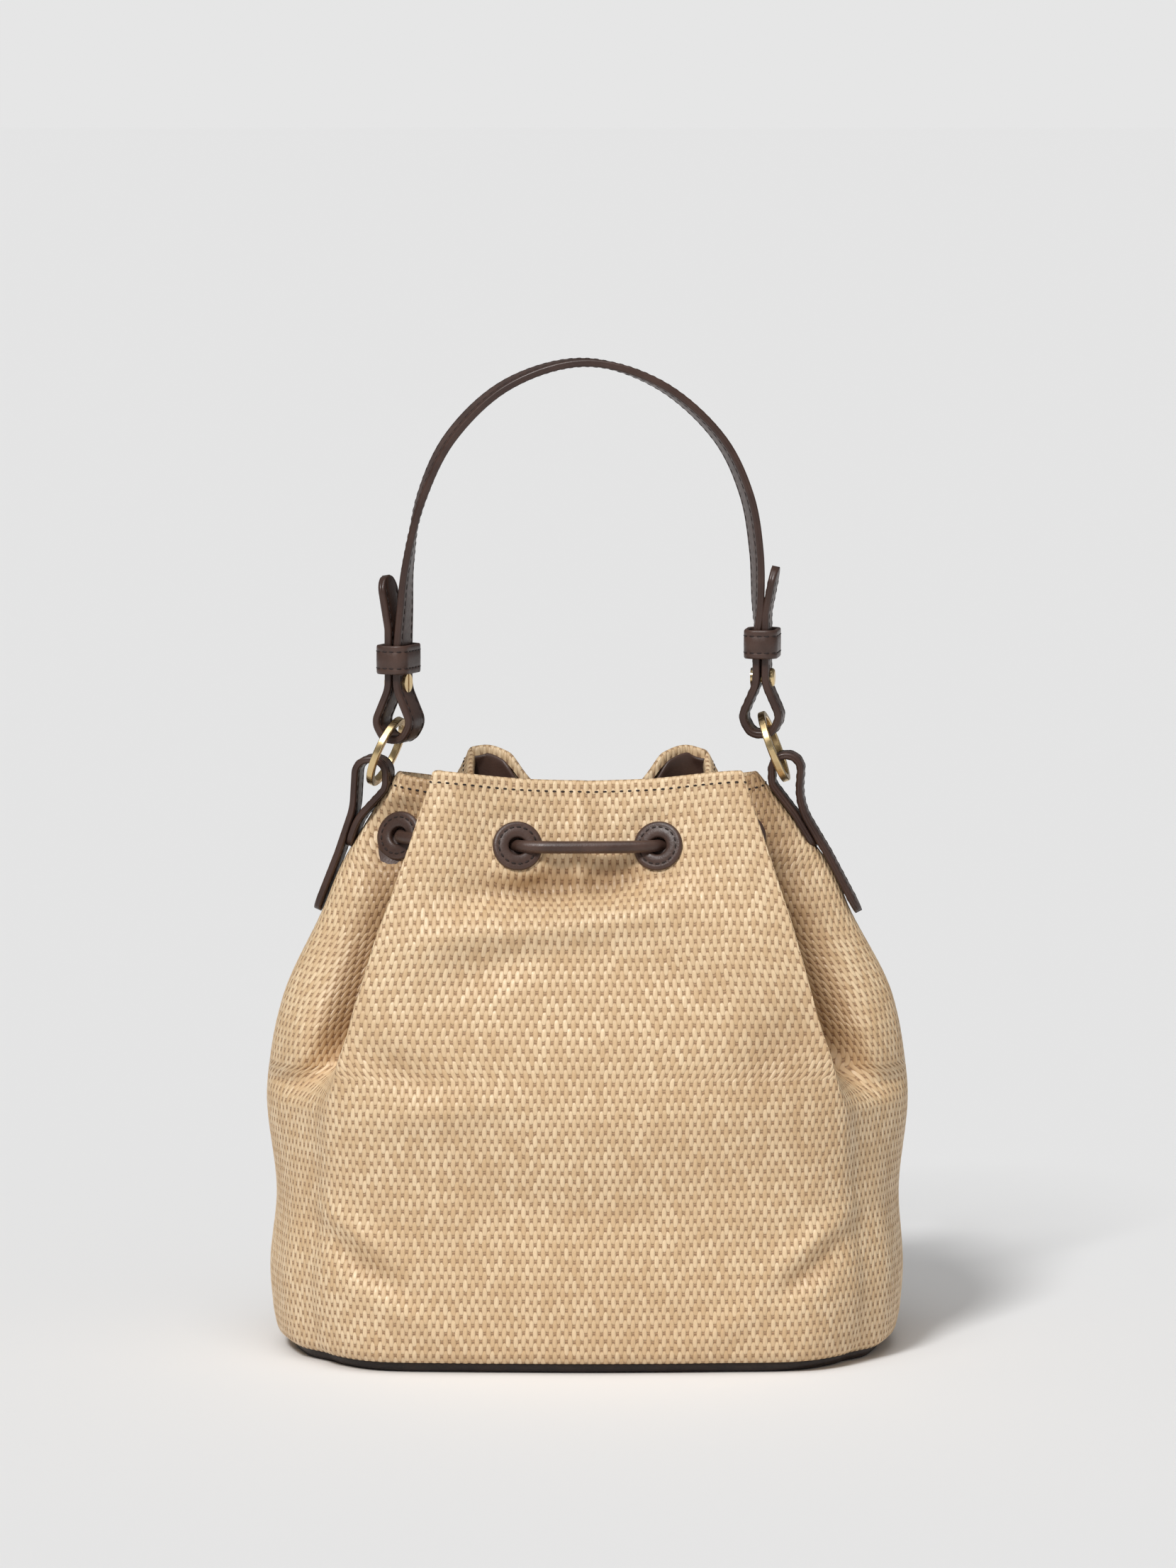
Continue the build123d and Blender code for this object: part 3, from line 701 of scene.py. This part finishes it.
def woven_piece(name, quarter, node):
    """One quarter of the woven body, with its top edge turned over and its foot turned in."""
    rows = int(round((RIM_NOMINAL - FOOT) / ROW_PITCH * ROW_STEPS))
    nominal = np.linspace(FOOT, RIM_NOMINAL, rows + 1)
    around, nn = np.meshgrid(np.arange(quarter * STEPS, (quarter + 1) * STEPS + 1), nominal, indexing="xy")
    points, normal = cloth_surface(WOVEN_TABLE, around, nn)
    u, v = around / 2.0, (nn - FOOT) / ROW_PITCH
    rise = RELIEF * (float_crown(u, v) - 0.6) * smoothstep(eyelet_distance(points), 7.0, 10.0)
    points = points + normal * rise[..., None]
    flat = unit(normal[..., :2])

    def turned(end, inward, up):
        """The first or last row again, moved inwards and up."""
        return points[end] + np.column_stack([-flat[end] * inward, np.zeros(len(flat[end])) + up])

    foot_rows = [turned(0, inward, FOOT - 0.3 - points[0, :, 2]) for inward in (5.0, 1.5)]
    rim_rows = [turned(-1, inward, up) for inward, up in TURNED_RIM]
    rim_v = [v[-1] + 0.15 + 0.25 * k for k in range(len(rim_rows))]
    points = np.concatenate([foot_rows, points, rim_rows])
    v = np.concatenate([v[:1] - 0.8, v[:1] - 0.4, v, rim_v])
    u = np.concatenate([u[:2], u, u[:len(rim_rows)]])
    faces = grid_faces(points)
    vertices = points.reshape(-1, 3)
    hole = eyelet_distance(vertices) < CUT_RADIUS
    corners = vertices[faces]
    area = np.linalg.norm(np.cross(corners[:, 2] - corners[:, 0], corners[:, 3] - corners[:, 1]), axis=1) / 2
    faces = faces[~hole[faces].any(axis=1) & (area > 0.02)]
    used = np.unique(faces)
    renumber = np.zeros(len(vertices), int)
    renumber[used] = np.arange(len(used))
    obj = new_piece(name, vertices[used], renumber[faces], [straw], "bag", "woven", replaces=(node,))
    layer = obj.data.uv_layers.new(name="weave")
    index = np.empty(len(obj.data.loops), np.int32)
    obj.data.loops.foreach_get("vertex_index", index)
    pairs = np.stack([u.reshape(-1), v.reshape(-1)], -1)[used][index]
    layer.data.foreach_set("uv", pairs.astype(np.float32).reshape(-1))
    # Painted shade in the side folds and dents, stored as the fold attribute that darkens the straw.
    depth = obj.data.attributes.new("fold", "FLOAT", "POINT")
    depth.data.foreach_set("value", painted_fold_shade(vertices[used], quarter).astype(np.float32))


for quarter, place in enumerate(("front_right", "back_right", "back_left", "front_left")):
    woven_piece(f"woven_body_{place}", quarter, place.split("_")[0] + "_panel")


# ---- facing, lining and base ----
def inner_shell(profile, step, first, last):
    """Rows of points at (inset, nominal height) pairs round the body."""
    around = np.arange(first, last + 1, step)
    rows = []
    for inset, nominal in profile:
        points, normal = cloth_surface(EVEN_TABLE, around, np.full(len(around), float(nominal)))
        rows.append(points - normal * inset)
    return np.array(rows)


def facing_piece(node, first):
    """Leather band inside the mouth, sewn under the turned edge of the cloth."""
    low, high = RIM_NOMINAL - FACING_DEPTH, RIM_NOMINAL - 2.2
    outer = [(1.6, low), (1.6, low + 14), (1.7, low + 24), (2.4, high - 1.5), (3.0, high - 0.4)]
    edge = [(3.3, high), (3.9, high + 0.1), (4.3, high - 0.4), (4.4, high - 1.2)]
    inner = [(4.2 - 0.8 * smoothstep(drop, 6, 24), high - 2.5 - drop) for drop in np.arange(0, 28, 3.0)]
    points = inner_shell(outer + edge + inner + [(2.4, low - 0.2)], 2, first, first + 2 * STEPS)
    leather_piece(node, points, grid_faces(points))


facing_piece("rim_facing_front", 3 * STEPS)
facing_piece("rim_facing_back", STEPS)


def closed_floor(points, centre, shares):
    """Rows that close a ring of points towards a centre, as quads and one last face."""
    ring = points[-1]
    rows = np.concatenate([points, [centre + (ring - centre) * share for share in shares]])
    faces = grid_faces(rows, closed_columns=True).tolist()
    faces.append(capped_faces(rows)[-1][::-1])
    return rows, faces


COARSE = 4  # half columns between two columns of the lining and the base


def lining_bag():
    """Cloth bag inside the body, from the lower edge of the facing to the floor."""
    heights = np.linspace(RIM_NOMINAL - FACING_DEPTH + 1.0, 9.0, 34)
    profile = [(3.4 + 1.2 * smoothstep(z, 60, 12), z) for z in heights] + [(6.0, 6.5), (9.5, 5.4)]
    wall = inner_shell(profile, COARSE, 0, AROUND - COARSE)
    points, faces = closed_floor(wall, (0.0, 0.0, 5.4), (0.9, 0.7, 0.45, 0.2))
    obj = new_piece("cloth_lining", points, faces, [lining_cloth], "bag", "lining",
                    replaces=("lining_front", "lining_back", "lining_floor"))
    thicken = obj.modifiers.new("thickness", "SOLIDIFY")
    thicken.thickness = 0.0006
    thicken.offset = -1.0
    cut = (sum(RIM_LENGTHS) * MM, 0.24)


def base_tray():
    """Leather bottom: a shallow tray whose rounded edge shows under the cloth, near black as partly painted
    shadow.
    """
    around = np.arange(0, AROUND, COARSE)
    ring, _ = look_up(EVEN_TABLE, around, np.full(len(around), 10.0))
    profile = [(0.075, 5.0), (0.062, 4.8), (0.057, 4.0), (0.056, 2.0), (0.059, 0.9), (0.065, 0.25),
               (0.074, 0.0)]
    rows = [np.column_stack([ring * (1 - share, 1 - DEPTH_SHARE * share), np.full(len(ring), z)])
            for share, z in profile]
    points, faces = closed_floor(np.array(rows), np.zeros(3), (0.9, 0.6, 0.3))
    new_piece("base_leather", points, faces, [base_leather_and_painted_shadow], "bag", "leather", replaces=("base_panel",))


lining_bag()
base_tray()


# ---- strips, stitches and straps ----
SEAM_MARGIN = 2.1  # from the edge of a strip to its stitches
STITCH_PITCH, STITCH_ENDS = 3.1, 5.0


def strip_piece(node, path, across, width, thickness, body):
    """Leather strip along a path, with rolled edges, stitch grooves, round ends and stitches."""
    along = unit(np.gradient(path, axis=0))
    across = square_to(along, across)
    w, t = width / 2, thickness / 2
    groove = w - SEAM_MARGIN
    left = [(-w + 0.9, t * 0.97), (-groove - 0.55, t), (-groove, t - 0.22), (-groove + 0.55, t),
            (-0.5 * groove, t + 0.06)]
    face = left + [(-x, y) for x, y in left[::-1]]
    bevel = [(w - 0.3, t * 0.84), (w, t * 0.5), (w - 0.04, t * 0.15)]
    side = bevel + [(w - 0.16, 0.0)] + [(x, -y) for x, y in bevel[::-1]]
    section = np.array(face + side + [(-x, -y) for x, y in face + side])
    half = len(face) + len(side)
    painted = np.arange(2 * half) % half >= len(face) - 1
    travelled = distances(path)
    inside = np.clip(1 - np.minimum(travelled, travelled[-1] - travelled) / w, 0, 1)
    wide = section[None, :, 0] * np.sqrt(1 - inside**2)[:, None]
    rows = path[:, None] + across[:, None] * wide[..., None]
    rows = rows + np.cross(along, across)[:, None] * section[None, :, 1:]
    kinds = np.concatenate([np.tile(painted, len(path) - 1), [1, 1]])
    leather_piece(node, rows, capped_faces(rows), body, (brown, edge_paint), kinds)

    every = even_steps(np.column_stack([path, along, across]), STITCH_PITCH)
    travelled = np.arange(len(every)) * STITCH_PITCH
    keep = (travelled > STITCH_ENDS) & (travelled < travelled[-1] - STITCH_ENDS)
    place, along, across = every[keep, 0:3], unit(every[keep, 3:6]), unit(every[keep, 6:9])
    up = np.cross(along, across)
    stitch = bead(STITCH_PITCH * 0.72, 0.36)
    parts = []
    for face in (1, -1):
        for edge in (-1, 1):
            spots = place + across * edge * groove + up * face * (t - 0.10)
            parts.append(scattered(stitch, spots, along, up * face, 0.85))
    new_piece(f"{node}_stitches", *joined(parts), [dark_thread], body, "leather")


def upright(yaw, direction):
    """Outward direction and width direction of a strap's upright plane."""
    angle = math.radians(yaw)
    outward = np.array([math.cos(angle), math.sin(angle), 0.0]) * direction
    return outward, np.cross(outward, (0.0, 0.0, 1.0))


def in_plane(origin_x, outward, points):
    """Points of the frame from pairs of reach and height in an upright plane."""
    return [np.array([origin_x, 0.0, z]) + outward * reach for reach, z in points]


def filleted(points, radii, step=0.8):
    """Polyline with an arc of the given radius at each inner corner, at even steps."""
    result = [points[0]]
    for before, corner, after, radius in zip(points, points[1:], points[2:], radii):
        back, ahead = unit(before - corner), unit(after - corner)
        angle = math.acos(float(np.clip(np.dot(back, ahead), -1, 1)))
        if abs(math.pi - angle) < 0.01:
            result.append(corner)
            continue
        reach = radius / math.tan(angle / 2)
        heart = corner + unit(back + ahead) * radius / math.sin(angle / 2)
        start, end = corner + back * reach, corner + ahead * reach
        for share in np.linspace(0, 1, 12):
            arm = unit(unit(start - heart) * (1 - share) + unit(end - heart) * share)
            result.append(heart + arm * radius)
    result.append(points[-1])
    return even_steps(np.array(result), step)


SIDES = (("left", 0, -1), ("right", 1, 1))  # word, place in each pair of values, sign of x
TAB_LOOP_X, TAB_YAW, TAB_LOOP_Z = (-79.6, 73.9), (-11, -5), (211.8, 213.2)
TAB_REACH, TAB_BEND, TAB_NECK = (21.4, 26.9), (12.6, 15.2), (6.8, 4.3)
TAB_INNER_NECK, TAB_INNER_END, TAB_HALF_LOOP = (5.2, 3.4), (9.1, 10.7), (5.7, 5.6)
STACK_X, STACK_YAW = (-70.2, 64.6), (-23, -8)
LOOP_Z, KEEPER_Z, TAIL_TOP_Z = (226.3, 228.3), (256.2, 262.0), (287.0, 290.5)
LAYER_OFFSET = 1.65  # from the middle of the stack to the middle of each layer
KEEPER_HALF = 5.3
ARCH_STEPS = 24  # between two points of the arch
# Points of the handle's arch: x, z and the strap's twist in degrees.
ARCH = [
    (-67.8, 274, -17), (-66.6, 291, -8), (-61.5, 316, 6), (-50.9, 338, 10), (-30, 357.5, 7),
    (-1.6, 365.8, 0), (26, 357.8, -7), (48.4, 338, -11), (58.6, 317, -13), (62.3, 296, -13),
    (62.9, 277, -9),
]

ends = {}
for word, side, direction in SIDES:
    outward, across = upright(TAB_YAW[side], direction)
    tab_z, foot, half_loop = TAB_LOOP_Z[side], TAB_REACH[side], TAB_HALF_LOOP[side]
    tab_points = [
        (foot, 162.0), (TAB_BEND[side], 184.0), (TAB_NECK[side], tab_z - 11.0),
        (half_loop, tab_z + 6.9), (-half_loop, tab_z + 7.4), (0.1 - half_loop, tab_z - 3.4),
        (TAB_INNER_NECK[side], tab_z - 15.0), (TAB_INNER_END[side], 186.0),
    ]
    flat = filleted(in_plane(TAB_LOOP_X[side], outward, tab_points),
                    [40.0, 25.0, half_loop - 0.4, half_loop - 0.4, 5.0, 20.0])
    wide = np.tile(across, (len(flat), 1))
    strip_piece(f"tab_{word}", flat, wide, TAB_WIDTH, TAB_THICKNESS, "bag")

    outward, across = upright(STACK_YAW[side], direction)
    loop_z, straight_top = LOOP_Z[side], KEEPER_Z[side] + KEEPER_HALF + 6.0
    loop_points = [
        (-LAYER_OFFSET, KEEPER_Z[side]), (-LAYER_OFFSET, loop_z + 19.0), (-7.2, loop_z + 6.4),
        (-3.6, loop_z), (3.6, loop_z), (7.2, loop_z + 6.4), (LAYER_OFFSET, loop_z + 19.0),
        (LAYER_OFFSET + 0.02, straight_top), (LAYER_OFFSET + 3.4, TAIL_TOP_Z[side]),
    ]
    loop = filleted(in_plane(STACK_X[side], outward, loop_points),
                    [14.0, 5.5, 4.6, 4.6, 5.5, 14.0, 12.0])
    ends[word] = (loop, across * -direction)

left_loop, left_across = ends["left"]
right_loop, right_across = ends["right"]
arch = [(*left_loop[0], -23.0), *((x, 0.0, z, twist) for x, z, twist in ARCH), (*right_loop[0], 8.0)]
below = np.array([arch[0], arch[-1]]) - (0, 0, 8.0, 0)
arch = catmull(np.vstack([below[:1], arch, below[1:]]), ARCH_STEPS)[ARCH_STEPS:-ARCH_STEPS]
arch = even_steps(arch, 1.0)
arch_path, twist = arch[:, :3], np.radians(arch[:, 3])
flat_side = np.cross(unit(np.gradient(arch_path, axis=0)), (0.0, 1.0, 0.0))
arch_across = circle_of(twist, (0.0, 1.0, 0.0), flat_side)
strap_path = np.vstack([left_loop[::-1][:-1], arch_path, right_loop[1:]])
strap_across = np.vstack([
    np.tile(left_across, (len(left_loop) - 1, 1)), arch_across,
    np.tile(right_across, (len(right_loop) - 1, 1)),
])
strip_piece("handle_strap", strap_path, strap_across, STRAP_WIDTH, STRAP_THICKNESS, "handle")


# ---- keepers ----
def rounded_ring(wide, deep, radius, count=12):
    """Closed rounded rectangle, wide along x and deep along y."""
    points = []
    for quarter, (sx, sy) in enumerate(((1, 1), (-1, 1), (-1, -1), (1, -1))):
        for share in np.linspace(0, 1, count):
            angle = math.radians(90 * (quarter + share))
            points.append((sx * (wide / 2 - radius) + radius * math.cos(angle),
                           sy * (deep / 2 - radius) + radius * math.sin(angle)))
    return np.array(points)


def keeper(word, side, direction):
    """Stitched leather band round the strap and its tail."""
    outward, across = upright(STACK_YAW[side], direction)
    node = f"keeper_{word}"
    heart = box_centre(node)
    ring = rounded_ring(11.2, 17.3, 3.9)
    tangent = unit(np.roll(ring, -1, 0) - np.roll(ring, 1, 0))
    normal = np.stack([tangent[:, 1], -tangent[:, 0]], -1)
    tall = KEEPER_HALF
    low = [(-0.7, -tall + 0.5), (-0.45, -tall), (0.45, -tall), (0.7, -tall + 0.5), (0.74, -3.4),
           (0.56, -3.1), (0.74, -2.8)]
    section = low + [(0.78, 0)] + [(push, -z) for push, z in low[::-1]]

    def turned(flat):
        """Directions in the plane of the band, as directions of the frame."""
        return flat[:, :1] * outward + flat[:, 1:] * across

    rows = np.array([heart + turned(ring + normal * push) + (0, 0, z) for push, z in section])
    leather_piece(node, rows, grid_faces(rows, True, True), body=node)
    loop = np.vstack([ring, ring[:1]])
    spots = even_steps(np.column_stack([loop, np.zeros(len(loop))]), 2.7)[:-1, :2]
    nearest = np.array([np.argmin(np.linalg.norm(ring - spot, axis=1)) for spot in spots])
    run, face = turned(tangent[nearest]), turned(normal[nearest])
    place = heart + turned(spots + normal[nearest] * 0.62)
    parts = [scattered(bead(1.9, 0.33), place + (0, 0, z), run, face, 0.85) for z in (-3.1, 3.1)]
    new_piece(f"{node}_stitches", *joined(parts), [dark_thread], node, "leather")


for word, side, direction in SIDES:
    keeper(word, side, direction)


# ---- eyelets ----
def eyelet_piece(number, axis, heart):
    """Leather washer with a rolled edge round a cord hole; returns its stitches."""
    first = unit(np.cross((0.0, 0.0, 1.0), axis))
    second = np.cross(axis, first)
    rim, hole = EYELET_RADIUS, EYELET_HOLE
    profile = [(rim - 0.3, 0.1), (rim, 0.55), (rim - 0.12, 1.15), (rim - 0.7, 1.62), (rim - 1.5, 1.72),
               (6.9, 1.55), (6.5, 1.72), (5.2, 1.78), (hole + 0.9, 1.72), (hole + 0.25, 1.45),
               (hole, 0.9), (hole, -3.4), (hole + 1.6, -3.6), (hole + 1.8, -0.4)]
    circle = circle_of(round_steps(48), first, second)
    rows = np.array([heart + circle * radius + axis * lift for radius, lift in profile])
    leather_piece(f"eyelet_{number:02d}", rows, grid_faces(rows, True, True))
    circle = circle_of(round_steps(17), first, second)
    return scattered(bead(1.75, 0.33), heart + circle * 6.9 + axis * 1.66, np.cross(axis, circle),
                     np.tile(axis, (len(circle), 1)), 0.85)


eyelet_threads = [eyelet_piece(number, *eyelet) for number, eyelet in enumerate(EYELETS, start=1)]
new_piece("eyelet_stitches", *joined(eyelet_threads), [dark_thread], "bag", "leather")


# ---- drawstring ----
OUTSIDE, INSIDE, MIDDLE, OUTSIDE_STEP, INSIDE_STEP = 4.45, 5.65, 0.6, 3.0, 1.6


def cord_point(number, lift, along):
    """Point of the drawstring beside an eyelet, as in the CAD route."""
    axis, seat = EYELETS[number - 1]
    flat = unit(axis * (1, 1, 0))
    side = np.array([-flat[1], flat[0], 0.0]) * (1 if number < 7 else -1)
    return (seat + flat * lift + side * along) * (1, 1, 0) + (0, 0, EYELET_Z)


# Each half of the cord passes six eyelets: (which of them, lift from its disc, step along the rim).
CORD_STOPS = [
    (0, OUTSIDE, -OUTSIDE_STEP), (0, -INSIDE, INSIDE_STEP), (1, -INSIDE, -INSIDE_STEP),
    (1, OUTSIDE, OUTSIDE_STEP), (2, OUTSIDE, -OUTSIDE_STEP), (2, -MIDDLE, 0.0), (3, -MIDDLE, 0.0),
    (3, OUTSIDE, OUTSIDE_STEP), (4, OUTSIDE, -OUTSIDE_STEP), (4, -INSIDE, INSIDE_STEP),
    (5, -INSIDE, -INSIDE_STEP), (5, OUTSIDE, OUTSIDE_STEP),
]
right_route = [cord_point(1 + stop, lift, along) for stop, lift, along in CORD_STOPS]
left_route = [cord_point(12 - stop, lift, along) for stop, lift, along in CORD_STOPS]
back_middle = (right_route[-1] + left_route[-1]) / 2
back_along = unit(right_route[-1] - left_route[-1])
END_GAP = 0.3  # from the middle of the sleeve to each end of the cord
cord_route = [
    back_middle + END_GAP * back_along, *right_route[::-1], *left_route, back_middle - END_GAP * back_along,
]


def spline_line(route):
    """Points along the spline that has the route's points as its control points."""
    curve = bpy.data.curves.new("cord_route", "CURVE")
    curve.dimensions = "3D"
    spline = curve.splines.new("NURBS")
    spline.points.add(len(route) - 1)
    for point, place in zip(spline.points, route):
        point.co = (*metres(place), 1.0)
    spline.order_u = 3
    spline.use_endpoint_u = True
    spline.resolution_u = 16
    carrier = add_object("cord_route", curve)
    mesh = bpy.data.meshes.new_from_object(carrier)
    points = mesh_points(mesh)
    bpy.data.objects.remove(carrier)
    bpy.data.curves.remove(curve)
    bpy.data.meshes.remove(mesh)
    return points


def tube(path, radius, sides=20):
    """Points and faces of a round cord along a path."""
    along = unit(np.gradient(path, axis=0))
    level = unit(np.cross(along, (0.0, 0.0, 1.0)))
    up = np.cross(level, along)
    angles = round_steps(sides)[None, :, None]
    rows = path[:, None] + (np.cos(angles) * level[:, None] + np.sin(angles) * up[:, None]) * radius
    return rows, capped_faces(rows)


cord_path = spline_line(cord_route)
cord_length = float(distances(cord_path)[-1])
drawstring = new_piece("drawstring_cord", *tube(cord_path, CORD_RADIUS), [brown], "bag", "leather",
                       replaces=("drawstring",))
every = even_steps(np.column_stack([cord_path, unit(np.gradient(cord_path, axis=0))]), 2.4)
run = unit(every[:, 3:6])
level = unit(np.cross(run, (0.0, 0.0, 1.0)))
SEAM_ANGLE = math.radians(28)  # below the level, on the outer side
low_side = unit(level * math.cos(SEAM_ANGLE) - np.cross(level, run) * math.sin(SEAM_ANGLE))
seam = scattered(bead(1.5, 0.3), every[:, :3] + low_side * (CORD_RADIUS - 0.04), run, low_side, 0.8)
cord_seam = new_piece("drawstring_seam", *seam, [red_thread], "bag", "leather")
tuple(metres(cord_path[0]))
metres(cord_path).tolist()
sleeve_path = np.array([back_middle + back_along * x for x in np.linspace(-10, 10, 15)])
leather_piece("cord_sleeve", *tube(sleeve_path, SLEEVE_RADIUS))


# ---- metal and base ----
def paint(node, material):
    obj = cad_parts[node]
    obj.data.materials.clear()
    obj.data.materials.append(material)


for word in ("left", "right"):
    for node in (f"ring_{word}", f"screw_post_{word}", f"screw_cap_{word}"):
        paint(node, gold)
paint("base_board", lining_cloth)

# ---- rim stitches ----
line = np.column_stack(cloth_surface(EVEN_TABLE, np.arange(AROUND), np.full(AROUND, RIM_NOMINAL - 3.2)))
every = even_steps(np.vstack([line, line[:1]]), 3.1)
place, normal = every[:, :3], unit(every[:, 3:6])
seam = scattered(bead(1.5, 0.34), place + normal * 0.18, unit(np.gradient(place, axis=0)), normal, 0.8)
new_piece("rim_stitches", *seam, [dark_thread], "bag", "woven")

# ---- stage ----
FLOOR_GREY = 0.86
AMBIENT, BACKDROP = 0.16, 0.791  # light of the world on the object, and as the camera sees it


def studio_floor():
    """Wide pale floor that fills the picture behind the bag."""
    mesh = bpy.data.meshes.new("studio_floor")
    reach = 40.0
    corners = [(-reach, -reach, 0), (reach, -reach, 0), (reach, reach, 0), (-reach, reach, 0)]
    mesh.from_pydata(corners, [], [(0, 1, 2, 3)])
    pale = Shader("pale_floor", Base_Color=(FLOOR_GREY,) * 3, Roughness=1.0, Specular_IOR_Level=0.0)
    mesh.materials.append(pale.material)
    add_object("studio_floor", mesh)


def soft_sun(name, azimuth, elevation, strength, spread):
    """Distant soft light. Azimuth 0 is in front of the bag, positive to the right."""
    data = bpy.data.lights.new(name, "SUN")
    data.energy = strength
    data.angle = math.radians(spread)
    a, e = math.radians(azimuth), math.radians(elevation)
    source = Vector((math.sin(a) * math.cos(e), -math.cos(a) * math.cos(e), math.sin(e)))
    add_object(name, data).rotation_euler = (-source).to_track_quat("-Z", "Y").to_euler()


studio_floor()
soft_sun("key_left", -25.0, 45.0, 2.0, 12.0)
soft_sun("top_soft", -5.0, 72.0, 0.90, 40.0)
soft_sun("fill_right", 48.0, 30.0, 0.15, 60.0)
scene = bpy.context.scene
world = bpy.data.worlds.new("pale_studio")
scene.world = world
world.use_nodes = True
nodes, links = world.node_tree.nodes, world.node_tree.links
background = nodes["Background"]
background.inputs["Color"].default_value = (1.0, 1.0, 1.0, 1.0)
seen = nodes.new("ShaderNodeLightPath")
strength = nodes.new("ShaderNodeMapRange")
strength.inputs["To Min"].default_value = AMBIENT
strength.inputs["To Max"].default_value = BACKDROP
links.new(seen.outputs["Is Camera Ray"], strength.inputs["Value"])
links.new(strength.outputs[0], background.inputs["Strength"])
scene.view_settings.view_transform = "Standard"

# The camera looks down at six degrees, and the picture is 436.6 mm wide at the middle of the bag.
CAMERA_DISTANCE, CAMERA_RISE = 2.6, math.radians(6.0)
PICTURE_WIDTH, SENSOR_WIDTH = 0.4366, 36.0
aim = Vector((0.0, 0.0, 0.2094))
lens = bpy.data.cameras.new("studio_camera")
lens.sensor_fit = "HORIZONTAL"
lens.sensor_width = SENSOR_WIDTH
lens.lens = SENSOR_WIDTH * CAMERA_DISTANCE / PICTURE_WIDTH
lens.clip_start, lens.clip_end = 0.1, 100.0
camera = add_object("studio_camera", lens)
back = Vector((0.0, -math.cos(CAMERA_RISE), math.sin(CAMERA_RISE)))
camera.location = aim + back * CAMERA_DISTANCE
camera.rotation_euler = (aim - camera.location).to_track_quat("-Z", "Y").to_euler()
scene.camera = camera
